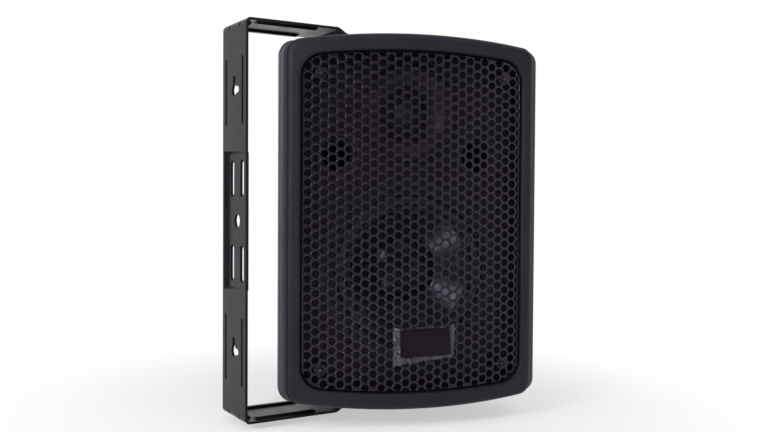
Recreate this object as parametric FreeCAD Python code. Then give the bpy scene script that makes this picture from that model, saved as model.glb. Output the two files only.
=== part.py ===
import FreeCAD, Part
import math
import os

V = FreeCAD.Vector
UP = V(0, 0, 1)
REAR = V(0, 1, 0)
RIGHT = V(1, 0, 0)

# All sizes are in millimetres.
# The bracket is drawn in the part's own frame: the centre hole's mouth is the origin, the wall is
# on +Y, the arms reach towards -Y. The cabinet is drawn about the swivel axis, front towards -Y,
# and then swung to the angle that it is shown at.
swing = 108.7                  # degrees that the cabinet is turned from facing straight off the wall

# Wall bracket, a pressed steel strip bent to a U
sheet = 2.0
strip_width = 45.0
arm_room = 9.5                # bezel edge to the outside of each arm
arm_reach = 137.8              # wall face to swivel axis
bend_radius = 4.0
paddle_length = 71.5           # full-width stretch of each arm
tongue_width = 26.0
joggle = 3.0                   # step of the tongue towards the cabinet
joggle_run = 8.0
joggle_start = 75.5
pad_depth = 2.5
pad_width = 35.0
pad_height = 100.0
press_draft = 2.5              # how far a pressed flank leans
wall_hole_radius = 5.3
slot_width = 7.0
slot_length = 27.4
slot_spread = 19.0
slot_pitch = 63.2
keyhole_pitch = 194.0
keyhole_radius = 4.5
keyhole_slot = 5.0
keyhole_rise = 8.0
keyhole_side = 9.0
plate_bead_start = 70.0
plate_bead_end = 122.0
arm_bead_start = 9.0
arm_bead_end = 60.0
bead_width = 5.0
bead_height = 1.6
bead_inset = 6.5               # strip edge to the middle of a bead
gusset_spread = 21.0
gusset_width = 4.0
gusset_leg = 7.0

# Swivel hardware
bolt_radius = 4.0
bolt_clearance = 0.5
bolt_head_flats = 13.0
bolt_head_height = 5.0
bolt_engagement = 13.0
washer_radius = 10.0
washer_height = 1.6
friction_radius = 16.0
friction_height = 2.0
boss_radius = 18.0
insert_radius = 7.0
insert_length = 16.0
insert_floor = 4.0             # plastic left under an insert

# Moulded cabinet
bezel_width = 188.0
bezel_height = 276.0
front_step = bezel_height / 100   # heights on the front are counted in this step
front_stride = bezel_width / 100  # and widths in this one
edge_arch = 700.0              # radius of the arched top and bottom edges
bezel_corner = 10.5
border_side = 9.5
border_top = 12.25
opening_corner = 17.0
bow_radius = 390.0             # bow of the grille's outer face
bezel_proud = 4.0
bezel_round = 5.2              # outer front edge
lip_round = 2.0                # edge round the grille
grille_lead = 80.0             # grille's foremost line ahead of the swivel axis
baffle_depth = 22.0            # grille's foremost line to the baffle face
baffle_wall = 4.0
rim_overhang = 5.2
rim_corner = 10.5
rim_depth = 10.0
rim_lead = 8.0                 # rim face ahead of the baffle face
rim_round = 3.5
groove = 1.0
skirt_side = 8.0
skirt_top = 3.5
fit_gap = 1.0
ledge_side = 18.0
ledge_top = 13.5
ledge_wall = 6.0
shell_wall = 3.5
back_lead = 88.0               # swivel axis to the back face
back_tuck = 30.0               # how far the back is narrower than the bezel on each side
back_drop = 14.0
back_corner = 22.0
seal_height = 1.0

# Grille
grille_sheet = 1.2
grille_gap = 1.0
grille_flange = 12.0           # foremost line to the rear edge of the turned rim
hole_pitch = 14.0
hole_flats = 10.0
hole_margin = 2.5
grille_post_radius = 4.5
grille_post_x = 37.23 * front_stride
grille_post_z = 39.13 * front_step
badge_width = 38.0
badge_height = 20.0
badge_sheet = 1.0
badge_x = 7.5
badge_z = -32.25 * front_step
badge_tilt = 2.0

# Screws, as shank radius, head radius and head height
trim_screw = 1.75
trim_head = 3.6
trim_head_height = 2.0
grille_head = 2.9
small_screw = 1.5
small_head = 2.6
small_head_height = 1.6
screw_clearance = 0.3
screw_bite = 9.0               # how far a driver or grille screw goes in below its seat

# Woofer
woofer_z = -13.3 * front_step
flange_radius = 68.5
basket_sheet = 1.5
basket_mouth = 56.0
basket_depth = 42.0            # baffle face to the basket's floor
spider_seat_depth = 34.6
spider_seat_radius = 36.0
basket_cup_radius = 30.0
baffle_clearance = 1.0
lip_radius = 61.8
roll_outer = 57.0
roll_inner = 48.5
surround_sheet = 0.8
cone_lap = 2.5
cone_depth = 26.5
cone_sheet = 0.9
cap_radius = 25.0
cap_height = 9.0
gasket_height = 2.0
coil_radius = 13.2
former_sheet = 0.3
winding_height = 0.6
winding_length = 12.0
former_tail = 1.0
spider_sheet = 0.6
spider_wave = 1.6
spider_rolls = 4
coil_gap = 0.5
motor_plate_radius = 36.0
motor_plate = 5.0
magnet_radius = 40.0
magnet_hole = 20.0
magnet_height = 13.0
woofer_bolt_circle = 65.1
woofer_window_width = 34.0
woofer_window_margin = 5.0
tag_width = 14.0
tag_length = 12.0
tag_sheet = 1.5

# Tweeter
tweeter_z = 29.49 * front_step
faceplate_radius = 37.0
faceplate_height = 4.0
flare_radius = 31.0
throat_radius = 13.5
throat_depth = 11.0            # baffle face to the throat
tweeter_body_radius = 28.0
dome_radius = 12.6
dome_rise = 6.0
dome_sheet = 0.6
dome_ring_radius = 19.2
dome_ring_height = 1.0
tweeter_plate_radius = 25.0
tweeter_plate = 3.0
tweeter_magnet_radius = 26.0
tweeter_magnet_hole = 16.0
tweeter_magnet_height = 8.0
tweeter_pole_radius = 11.4
tweeter_gap_radius = 13.4
tweeter_bolt_circle = 34.0

# Reflex ports
port_x = 28.99 * front_stride
port_z = 17.9 * front_step
port_radius = 11.6
port_wall = 1.8
port_length = 60.0
port_flange_radius = 16.0
port_flange = 1.5
port_flare = 3.0

# Amplifier panel on the back
panel_width = 100.0
panel_height = 180.0
panel_step = panel_height / 90    # heights on the panel are counted in this step
panel_corner = 5.0
panel_sheet = 3.0
panel_lap = 6.0
panel_screw_inset = 3.0
panel_screw_z = 15 * panel_step
sink_width = 80.0
sink_bottom = 8 * panel_step
sink_top = 41 * panel_step
sink_base = 4.0
fin_height = 12.0
fin_sheet = 2.0
fin_count = 11
knob_pitch = 28.0
knob_z = -panel_step
knob_radius = 8.0
knob_height = 11.6
knob_flutes = 10
flute_radius = 1.3
knob_bevel = 1.0
pointer_width = 1.0
pointer_depth = 0.8
knob_lift = 0.4
spindle_radius = 2.5
spindle_length = 12.0
spindle_clearance = 0.1
bushing_radius = 3.5
bushing_height = 4.0
pot_side = 15.0
pot_depth = 8.0
board_width = 80.0
board_bottom = -29 * panel_step
board_top = 8 * panel_step
board_sheet = 1.6
stud_radius = 3.0
stud_x = 37.0
stud_inset = 4.0
chip_width = 20.0
chip_height = 16.0
chip_depth = 4.6
chip_z = 13 * panel_step
capacitor_radius = 8.0
capacitor_length = 25.0
capacitor_x = 18.0
capacitor_z = -20 * panel_step
core_x = -16.0
core_z = 30 * panel_step
core_stack = 18.0
core_height = 40.0
core_depth = 32.0
core_leg = 7.0
winding_bulge = 8.0
winding_gap = 0.3
filter_x = 27.0
filter_z = 30 * panel_step
filter_width = 30.0
filter_height = 40.0
filter_standoff = 6.0
choke_radius = 9.0
choke_core_radius = 4.0
choke_height = 10.0
choke_cheek = 1.5
film_radius = 4.5
film_length = 18.0
jack_x = -23.0
jack_pitch = 18.0
jack_z = -16 * panel_step
jack_flange_radius = 6.2
jack_flange = 1.5
jack_radius = 4.15
jack_length = 7.5
jack_bore = 1.7
jack_bore_depth = 12.0
clip_x = 20.0
clip_z = -16.5 * panel_step
clip_width = 36.0
clip_height = 26.0
clip_flange = 2.0
clip_lap = 2.0
clip_proud = 7.0
clip_pocket_width = 12.0
clip_pocket_height = 15.0
clip_pocket_depth = 12.5
clip_pocket_lift = 1.5
clip_pitch = 18.0
wire_hole_radius = 1.6
wire_hole_drop = 8.6
lever_width = 10.8
lever_height = 12.0
lever_thickness = 6.5
lever_proud = 2.0
lever_pin_radius = 1.0
lever_pin_length = 1.0
pin_clearance = 0.15
switch_x = 30.0
switch_z = -36.5 * panel_step
switch_width = 22.0
switch_height = 16.0
switch_body_width = 18.8
switch_body_height = 12.8
switch_flange = 2.0
switch_depth = 12.0
switch_well = 10.0
rocker_width = 15.2
rocker_height = 10.0
rocker_gap = 0.6
rocker_deep = 6.5
rocker_dip = 0.9
rocker_pivot = 3.0             # pivot below the flange's front face
rocker_tilt = 8.0
rocker_pin_radius = 1.0
rocker_pin_length = 1.0
inlet_x = -18.0
inlet_z = -36.5 * panel_step
inlet_width = 31.0
inlet_height = 24.0
inlet_body_width = 27.0
inlet_body_height = 20.0
inlet_flange = 2.0
inlet_depth = 17.0
socket_width = 24.4
socket_height = 16.4
socket_chamfer = 4.5
socket_depth = 16.0
blade_width = 2.0
blade_height = 4.0
blade_length = 12.0
blade_tail = 7.0
blade_pitch = 14.0
blade_offset = 2.0
led_x = 30.0
led_z = -28.5 * panel_step
led_radius = 1.5
led_length = 7.0
led_proud = 0.6
cut_gap = 0.1                  # slack round what passes through the panel

# Depths worked out from the sizes above, about the swivel axis
overshoot = 5.0                # how far a cutting shape runs past what it cuts
bow_axis = bow_radius - grille_lead
baffle_face = baffle_depth - grille_lead
baffle_rear = baffle_face + baffle_wall
ledge_face = baffle_rear + seal_height
ledge_rear = ledge_face + ledge_wall
rim_face = baffle_face - rim_lead
bezel_rear = rim_face - groove
taper_start = rim_face + rim_depth
front_limit = -grille_lead - bezel_proud - overshoot
panel_inner = back_lead + seal_height
panel_outer = panel_inner + panel_sheet
board_face = panel_inner - pot_depth
flange_face = baffle_face - basket_sheet

# Half sizes of the nested front outlines
bezel_half = (bezel_width / 2, bezel_height / 2, bezel_corner)
opening_half = (bezel_half[0] - border_side, bezel_half[1] - border_top, opening_corner)
skirt_half = (opening_half[0] + skirt_side, opening_half[1] + skirt_top, opening_corner + skirt_top)
rim_half = (bezel_half[0] + rim_overhang, bezel_half[1], rim_corner)
back_half = (bezel_half[0] - back_tuck, bezel_half[1] - back_drop, back_corner)

# Heights of the swivel stack above the cabinet's middle
bracket_height = bezel_height + 2 * arm_room
arm_outer = bracket_height / 2
tongue_inner = arm_outer - joggle - sheet
boss_top = tongue_inner - friction_height
wall_face = pad_depth
pivot_y = wall_face - arm_reach


def box(x0, x1, y0, y1, z0, z1):
    return Part.makeBox(x1 - x0, y1 - y0, z1 - z0, V(x0, y0, z0))


def block(x, z, width, height, y0, y1):
    """Box centred on x and z, from depth y0 to y1."""
    return box(x - width / 2, x + width / 2, y0, y1, z - height / 2, z + height / 2)


def rod(x, z, radius, y0, y1):
    """Round bar along the depth."""
    return Part.makeCylinder(radius, y1 - y0, V(x, y0, z), REAR)


def post(x, y, radius, z0, z1):
    """Round bar along the height."""
    return Part.makeCylinder(radius, z1 - z0, V(x, y, z0), UP)


def hexagon(flats):
    """Corner points of a hexagon with flats at top and bottom, as pairs."""
    radius = flats / math.sqrt(3)
    return [(radius * math.cos(math.radians(60 * i)), radius * math.sin(math.radians(60 * i)))
            for i in range(6)]


def face_of(points):
    return Part.Face(Part.makePolygon(points + points[:1]))


def line(p, q):
    return Part.LineSegment(p, q).toShape()


def arc(p, q, r):
    return Part.Arc(p, q, r).toShape()


def turned(profile, x=0.0, z=0.0):
    """Body of revolution about a depth line: the profile holds (radius, depth) pairs."""
    face = face_of([V(x + r, y, z) for r, y in profile])
    return face.revolve(V(x, 0, z), REAR, 360)


def ring(x, z, outer, inner, y0, y1):
    return turned([(inner, y0), (outer, y0), (outer, y1), (inner, y1)], x, z)


def around(radius, count, x=0.0, z=0.0, start=45.0):
    """Evenly spread places on a circle."""
    angles = [math.radians(start + 360.0 * i / count) for i in range(count)]
    return [(x + radius * math.cos(a), z + radius * math.sin(a)) for a in angles]


def corners(x, z):
    return [(sx * x, sz * z) for sx in (-1, 1) for sz in (-1, 1)]


def join(shapes):
    return shapes[0].multiFuse(shapes[1:]).removeSplitter()


def group(shapes):
    return Part.makeCompound(shapes)


def grown(half, by):
    """Outline set outwards by a distance, or inwards where it is negative."""
    return (half[0] + by, half[1] + by, half[2] + by)


def fillet_place(half):
    """Centre of the corner arc that touches a side and the arched edge."""
    x = half[0] - half[2]
    arch_centre = half[1] - edge_arch
    z = arch_centre + math.sqrt((edge_arch - half[2]) ** 2 - x ** 2)
    return x, z, arch_centre


def outline(half, y):
    """Closed wire with straight sides, arched top and bottom and round corners."""
    width, height, corner = half
    x, z, arch_centre = fillet_place(half)
    stretch = edge_arch / (edge_arch - corner)
    touch = (x * stretch, arch_centre + (z - arch_centre) * stretch)
    lean = math.atan2(z - arch_centre, x) / 2
    middle = (x + corner * math.cos(lean), z + corner * math.sin(lean))

    def at(point, side, end):
        return V(side * point[0], y, end * point[1])

    edges = [line(at((width, z), 1, -1), at((width, z), 1, 1)),
             arc(at((width, z), 1, 1), at(middle, 1, 1), at(touch, 1, 1)),
             arc(at(touch, 1, 1), at((0, height), 1, 1), at(touch, -1, 1)),
             arc(at(touch, -1, 1), at(middle, -1, 1), at((width, z), -1, 1)),
             line(at((width, z), -1, 1), at((width, z), -1, -1)),
             arc(at((width, z), -1, -1), at(middle, -1, -1), at(touch, -1, -1)),
             arc(at(touch, -1, -1), at((0, height), 1, -1), at(touch, 1, -1)),
             arc(at(touch, 1, -1), at(middle, 1, -1), at((width, z), 1, -1))]
    return Part.Wire(edges)


def within(x, z, half):
    """True where a place lies inside such an outline."""
    x, z = abs(x), abs(z)
    corner_x, corner_z, arch_centre = fillet_place(half)
    if x > half[0] or math.hypot(x, z - arch_centre) > edge_arch:
        return False
    if x > corner_x and z > corner_z:
        return math.hypot(x - corner_x, z - corner_z) < half[2]
    return True


def slab(half, y0, y1):
    return Part.Face(outline(half, y0)).extrude(V(0, y1 - y0, 0))


def bow(radius):
    """Upright cylinder whose front is the bow of the speaker's face."""
    tall = 2 * bezel_height
    return Part.makeCylinder(radius, tall, V(0, bow_axis, -tall / 2), UP)


def bow_normal(x):
    """Place on the grille's face at a width x, and the outward direction there."""
    lean = math.asin(x / bow_radius)
    out = V(math.sin(lean), -math.cos(lean), 0)
    return V(0, bow_axis, 0) + out * bow_radius, out


def shell_section(y, inset):
    """Outline of the cabinet at a depth, set in from its outside."""
    share = max(0.0, (y - taper_start) / (back_lead - taper_start))
    half = [a + (b - a) * share for a, b in zip(rim_half, back_half)]
    return outline(grown(half, -inset), y)


def ledge_window(slack):
    """Outline of the hole inside the seam ledge, set outwards by a slack."""
    corner = skirt_half[2] - ledge_side
    return grown((skirt_half[0] - ledge_side, skirt_half[1] - ledge_top, corner), slack)


def shell_top(y):
    share = (y - taper_start) / (back_lead - taper_start)
    return rim_half[1] + (back_half[1] - rim_half[1]) * share


def screw(x, z, seat, radius, head, head_height, length):
    """Pan-head screw driven rearwards, its head resting at the seat depth."""
    crown = head * 0.6
    shoulder = seat - head_height / 2
    profile = [(0, seat - head_height), (crown, seat - head_height), (head, shoulder), (head, seat),
               (radius, seat), (radius, seat + length), (0, seat + length)]
    return turned(profile, x, z)


# Wall bracket

def bracket_profile():
    """Strip bent to a U with a joggled end on each arm, extruded across its width."""
    tip = pivot_y - tongue_width / 2
    step = wall_face - joggle_start
    outer = [(tip, arm_outer - joggle), (step - joggle_run, arm_outer - joggle),
             (step, arm_outer), (wall_face, arm_outer)]
    inner = [(tip, tongue_inner), (step - joggle_run, tongue_inner), (step, arm_outer - sheet),
             (wall_face - sheet, arm_outer - sheet)]
    upper_outer = [V(-strip_width / 2, y, z) for y, z in outer]
    upper_inner = [V(-strip_width / 2, y, z) for y, z in inner]
    lower_outer = [V(p.x, p.y, -p.z) for p in reversed(upper_outer)]
    lower_inner = [V(p.x, p.y, -p.z) for p in upper_inner]
    loop = upper_outer + lower_outer + lower_inner + upper_inner[::-1]
    strip = face_of(loop).extrude(V(strip_width, 0, 0))
    outer_bends = [e for e in strip.Edges if on_bend(e, wall_face, arm_outer)]
    strip = strip.makeFillet(bend_radius, outer_bends)
    inner_bends = [e for e in strip.Edges if on_bend(e, wall_face - sheet, arm_outer - sheet)]
    return strip.makeFillet(bend_radius - sheet, inner_bends)


def on_bend(edge, y, z):
    middle = edge.CenterOfMass
    return abs(middle.y - y) < 0.01 and abs(abs(middle.z) - z) < 0.01 and abs(middle.x) < 0.01


def bracket_plan():
    """Plan of the strip: full width, a round shoulder, then a narrow tongue with a round tip."""
    low = -bracket_height
    shoulder = wall_face - paddle_length
    half = strip_width / 2
    shapes = [box(-half, half, shoulder, wall_face, low, -low),
              post(0, shoulder, half, low, -low),
              box(-tongue_width / 2, tongue_width / 2, pivot_y, shoulder, low, -low),
              post(0, pivot_y, tongue_width / 2, low, -low)]
    return join(shapes)


def plate_pressing(x, z, width, height, y0, y1):
    """Frustum with its small end at y0: the shape of a pressing in the plate."""
    wide = face_of([V(x + sx * (width / 2 + press_draft), y1, z + sz * (height / 2 + press_draft))
                    for sx, sz in ((-1, -1), (1, -1), (1, 1), (-1, 1))])
    narrow = face_of([V(x + sx * width / 2, y0, z + sz * height / 2)
                      for sx, sz in ((-1, -1), (1, -1), (1, 1), (-1, 1))])
    return Part.makeLoft([narrow.OuterWire, wide.OuterWire], True, True)


def bead(width, length, rise):
    """Low ridge with leaning ends, lying along Y with its top towards +Z."""
    side_lean = rise * 0.6
    end_lean = rise * 1.5
    turns = ((-1, -1), (1, -1), (1, 1), (-1, 1))
    low = face_of([V(sx * width / 2, sy * length / 2, 0) for sx, sy in turns])
    top_width = width - 2 * side_lean
    top_length = length - 2 * end_lean
    high = face_of([V(sx * top_width / 2, sy * top_length / 2, rise) for sx, sy in turns])
    return Part.makeLoft([low.OuterWire, high.OuterWire], True, True)


def bracket_beads():
    """Ridges on the inside of the U, and the matching grooves on its outside."""
    ridges = []
    grooves = []
    bead_x = strip_width / 2 - bead_inset
    plate_length = plate_bead_end - plate_bead_start
    plate_middle = (plate_bead_end + plate_bead_start) / 2
    arm_length = arm_bead_end - arm_bead_start
    arm_middle = wall_face - (arm_bead_end + arm_bead_start) / 2
    for side, end in corners(1, 1):
        ridge = bead(bead_width, plate_length, bead_height)
        ridge.rotate(V(0, 0, 0), RIGHT, 90)
        groove_shape = bead(bead_width - bead_height, plate_length - bead_height, bead_height)
        groove_shape.rotate(V(0, 0, 0), RIGHT, 90)
        ridges.append(ridge.translated(V(side * bead_x, wall_face - sheet, end * plate_middle)))
        grooves.append(groove_shape.translated(V(side * bead_x, wall_face, end * plate_middle)))
        ridge = bead(bead_width, arm_length, bead_height)
        groove_shape = bead(bead_width - bead_height, arm_length - bead_height, bead_height)
        if end > 0:
            ridge.rotate(V(0, 0, 0), REAR, 180)
            groove_shape.rotate(V(0, 0, 0), REAR, 180)
        ridges.append(ridge.translated(V(side * bead_x, arm_middle, end * (arm_outer - sheet))))
        grooves.append(groove_shape.translated(V(side * bead_x, arm_middle, end * arm_outer)))
    return ridges, grooves


def bracket_gussets():
    """Pressed dents across each bend: ribs inside and notches outside."""
    ribs = []
    notches = []
    inner_y = wall_face - sheet
    inner_z = arm_outer - sheet
    notch = gusset_leg - sheet
    for side, end in corners(gusset_spread / 2, 1):
        x = side - gusset_width / 2
        rib = face_of([V(x, inner_y, end * inner_z), V(x, inner_y - gusset_leg, end * inner_z),
                       V(x, inner_y, end * (inner_z - gusset_leg))])
        ribs.append(rib.extrude(V(gusset_width, 0, 0)))
        x = side - gusset_width / 4
        dent = face_of([V(x, wall_face, end * arm_outer), V(x, wall_face - notch, end * arm_outer),
                        V(x, wall_face, end * (arm_outer - notch))])
        notches.append(dent.extrude(V(gusset_width / 2, 0, 0)))
    return ribs, notches


def upright_slot(x, z, width, length, y0, y1):
    half = width / 2
    rise = length / 2 - half
    return join([rod(x, z - rise, half, y0, y1), rod(x, z + rise, half, y0, y1),
                 box(x - half, x + half, y0, y1, z - rise, z + rise)])


def bracket_holes():
    y0 = -sheet - overshoot
    y1 = wall_face + overshoot
    cuts = [rod(0, 0, wall_hole_radius, y0, y1)]
    for x, z in corners(slot_spread / 2, slot_pitch / 2):
        cuts.append(upright_slot(x, z, slot_width, slot_length, y0, y1))
    half = keyhole_slot / 2
    for z in (-keyhole_pitch / 2, keyhole_pitch / 2):
        keyhole = [rod(0, z, keyhole_radius, y0, y1),
                   box(-half, half, y0, y1, z, z + keyhole_rise),
                   rod(0, z + keyhole_rise, half, y0, y1),
                   box(-keyhole_side + half, 0, y0, y1, z - half, z + half),
                   rod(-keyhole_side + half, z, half, y0, y1)]
        cuts.append(join(keyhole))
    cuts.append(post(0, pivot_y, bolt_radius + bolt_clearance, -bracket_height, bracket_height))
    return cuts


def wall_bracket():
    strip = bracket_profile().common(bracket_plan())
    ridges, grooves = bracket_beads()
    ribs, notches = bracket_gussets()
    pressed = plate_pressing(0, 0, pad_width, pad_height, -sheet, wall_face - sheet)
    hollow = plate_pressing(0, 0, pad_width, pad_height, 0, wall_face)
    body = strip.multiFuse(ridges + ribs + [pressed])
    return body.cut(grooves + notches + [hollow] + bracket_holes()).removeSplitter()


# Swivel hardware, the same at the top and the bottom

def both_ends(shape):
    other = shape.mirror(V(0, 0, 0), UP)
    return group([shape, other])


def pivot_bolts():
    seat = tongue_inner + sheet + washer_height
    points = [V(x, y, seat) for x, y in hexagon(bolt_head_flats)]
    head = face_of(points).extrude(UP * bolt_head_height)
    foot = bolt_head_flats * 0.6
    crown = bolt_head_flats * 0.42
    rounding = Part.makeCone(foot, crown, bolt_head_height, V(0, 0, seat), UP)
    shank = post(0, 0, bolt_radius, boss_top - bolt_engagement, seat)
    return both_ends(join([head.common(rounding), shank]))


def collar(outer, inner, z0, z1):
    """Upright tube on the swivel axis."""
    return post(0, 0, outer, z0, z1).cut(post(0, 0, inner, z0, z1))


def bolt_washers():
    low = tongue_inner + sheet
    return both_ends(collar(washer_radius, bolt_radius + bolt_clearance, low, low + washer_height))


def friction_washers():
    return both_ends(collar(friction_radius, bolt_radius + bolt_clearance, boss_top, tongue_inner))


def pivot_inserts():
    return both_ends(collar(insert_radius, bolt_radius, boss_top - insert_length, boss_top))


# Cabinet

def seam_screw_places():
    side = opening_half[0] - trim_head - fit_gap
    top = opening_half[1] - 2 * trim_head
    places = [(sx * side, z) for sx in (-1, 1) for z in (-woofer_z * 2, 0, woofer_z * 2)]
    return places + corners(faceplate_radius + trim_head, top)


def bezel_ring():
    """Bowed frame round the grille with rounded front edges."""
    solid = slab(bezel_half, front_limit, bezel_rear).common(bow(bow_radius + bezel_proud))
    solid = solid.makeFillet(bezel_round, bow_edges(solid, bow_radius + bezel_proud))
    solid = solid.cut(slab(opening_half, front_limit - overshoot, bezel_rear + overshoot))
    lip = [e for e in bow_edges(solid, bow_radius + bezel_proud) if on_opening(e)]
    return solid.makeFillet(lip_round, lip)


def middle_of(edge):
    return edge.valueAt((edge.FirstParameter + edge.LastParameter) / 2)


def bow_edges(solid, radius):
    """Edges that lie on the bow of that radius."""
    return [e for e in solid.Edges
            if abs(math.hypot(middle_of(e).x, middle_of(e).y - bow_axis) - radius) < 0.01]


def on_opening(edge):
    middle = middle_of(edge)
    return within(middle.x, middle.z, grown(opening_half, lip_round / 2))


def grille_posts():
    posts = []
    for x, z in corners(grille_post_x, grille_post_z):
        place, out = bow_normal(x)
        start = V(place.x, place.y, z)
        length = baffle_depth + overshoot
        posts.append(Part.makeCylinder(grille_post_radius, length, start, out * -1))
    trimmed = group(posts).common(bow(bow_radius - grille_sheet))
    keep = box(-bezel_width, bezel_width, front_limit, baffle_rear, -bezel_height, bezel_height)
    return trimmed.common(keep)


def grille_bores(radius, depth):
    bores = []
    for x, z in corners(grille_post_x, grille_post_z):
        place, out = bow_normal(x)
        start = V(place.x, place.y, z) + out * overshoot
        bores.append(Part.makeCylinder(radius, depth + overshoot, start, out * -1))
    return bores


def front_frame():
    """Bezel, the tray behind it and the baffle, moulded in one."""
    tray = slab(skirt_half, bezel_rear, baffle_rear)
    tray = tray.cut(slab(opening_half, bezel_rear - overshoot, baffle_face))
    body = join([bezel_ring(), tray, grille_posts()])
    y0 = baffle_face - overshoot
    y1 = baffle_rear + overshoot
    cuts = [rod(0, woofer_z, basket_mouth + basket_sheet + baffle_clearance, y0, y1),
            rod(0, tweeter_z, tweeter_body_radius + baffle_clearance, y0, y1)]
    for side in (-1, 1):
        cuts.append(rod(side * port_x, port_z, port_radius + port_wall, y0, y1))
    for x, z in seam_screw_places():
        cuts.append(rod(x, z, trim_screw + screw_clearance, y0, y1))
    for x, z in around(woofer_bolt_circle, 4, 0, woofer_z):
        cuts.append(rod(x, z, trim_screw, y0, y1))
    for x, z in around(tweeter_bolt_circle, 4, 0, tweeter_z):
        cuts.append(rod(x, z, small_screw, y0, y1))
    return body.cut(cuts + grille_bores(trim_screw, grille_sheet + screw_bite))


def rear_shell():
    """Tapered housing with a seam ledge, swivel bosses and the opening for the panel."""
    rim = slab(rim_half, rim_face, taper_start)
    front_edges = [e for e in rim.Edges if abs(e.CenterOfMass.y - rim_face) < 0.01]
    rim = rim.makeFillet(rim_round, front_edges)
    taper = Part.makeLoft([shell_section(taper_start, 0), shell_section(back_lead, 0)], True, True)
    back_edges = [e for e in taper.Edges if abs(e.CenterOfMass.y - back_lead) < 0.01]
    taper = taper.makeFillet(shell_wall, back_edges)
    inner = [shell_section(ledge_rear, shell_wall), shell_section(back_lead - shell_wall, shell_wall)]
    cavity = Part.makeLoft(inner, True, True)
    seat = boss_top - insert_length
    boss = join([post(0, 0, boss_radius, shell_top(0) - shell_wall - insert_floor, boss_top),
                 post(0, 0, insert_radius + insert_floor, seat - insert_floor, boss_top)])
    bore = post(0, 0, insert_radius, seat, boss_top)
    hollow = [slab(grown(skirt_half, fit_gap), rim_face - overshoot, ledge_face),
              slab(ledge_window(0), ledge_face - overshoot, ledge_rear + overshoot), cavity]
    body = join([rim, taper]).cut(hollow)
    body = join([body, boss, boss.mirror(V(0, 0, 0), UP)])
    cuts = [bore, bore.mirror(V(0, 0, 0), UP)]
    cuts.append(block(0, 0, panel_width - 2 * panel_lap, panel_height - 2 * panel_lap,
                      back_lead - 2 * shell_wall, back_lead + overshoot))
    for x, z in seam_screw_places():
        cuts.append(rod(x, z, trim_screw, ledge_face - overshoot, ledge_rear + overshoot))
    for x, z in panel_screw_places():
        cuts.append(rod(x, z, small_screw, back_lead - 2 * shell_wall, back_lead + overshoot))
    return body.cut(cuts)


def cabinet_gasket():
    seal = slab(grown(skirt_half, -fit_gap), baffle_rear, ledge_face)
    seal = seal.cut(slab(ledge_window(fit_gap / 2), baffle_rear - overshoot, ledge_face + overshoot))
    hole = trim_screw + screw_clearance
    return seal.cut([rod(x, z, hole, baffle_rear, ledge_face) for x, z in seam_screw_places()])


def cabinet_screws():
    length = ledge_rear - baffle_face
    return group([screw(x, z, baffle_face, trim_screw, trim_head, trim_head_height, length)
                  for x, z in seam_screw_places()])


# Grille

def grille_holes():
    """Hexagonal prisms on a staggered pattern with upright columns."""
    column = hole_pitch * math.sqrt(3) / 2
    reach = hole_flats / math.sqrt(3) + hole_margin
    field = grown((opening_half[0], opening_half[1], opening_corner), -grille_gap - grille_sheet - reach)
    columns = int(bezel_width / column / 2) + 1
    rows = int(bezel_height / hole_pitch / 2) + 1
    holes = []
    for i in range(-columns, columns + 1):
        for j in range(-rows, rows + 1):
            x = i * column
            z = (j + 0.5 * (i % 2)) * hole_pitch
            to_screw = math.hypot(abs(x) - grille_post_x, abs(z) - grille_post_z)
            if within(x, z, field) and to_screw > reach + grille_head:
                points = [V(x + px, front_limit, z + pz) for px, pz in hexagon(hole_flats)]
                holes.append(face_of(points).extrude(V(0, baffle_face - front_limit, 0)))
    return holes


def front_grille():
    """Bowed perforated sheet with a turned-back rim."""
    half = grown((opening_half[0], opening_half[1], opening_corner), -grille_gap)
    rear = grille_flange - grille_lead
    outer = slab(half, front_limit, rear).common(bow(bow_radius))
    inner = slab(grown(half, -grille_sheet), front_limit, rear + overshoot)
    inner = inner.common(bow(bow_radius - grille_sheet))
    bores = grille_bores(trim_screw + screw_clearance, grille_sheet + screw_bite)
    return outer.cut(inner).cut(grille_holes() + bores)


def grille_screws():
    screws = []
    for x, z in corners(grille_post_x, grille_post_z):
        place, out = bow_normal(x)
        one = screw(0, 0, 0, trim_screw, grille_head, trim_head_height, grille_sheet + screw_bite)
        one.rotate(V(0, 0, 0), UP, math.degrees(math.asin(x / bow_radius)))
        screws.append(one.translated(V(place.x, place.y, z)))
    return group(screws)


def badge():
    """Bare plate that lies on the bow of the grille."""
    plate = block(0, 0, badge_width, badge_height, front_limit, baffle_face)
    plate.rotate(V(0, 0, 0), REAR, -badge_tilt)
    plate = plate.translated(V(badge_x, 0, badge_z))
    return plate.common(bow(bow_radius + badge_sheet)).cut(bow(bow_radius))


# Woofer

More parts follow.
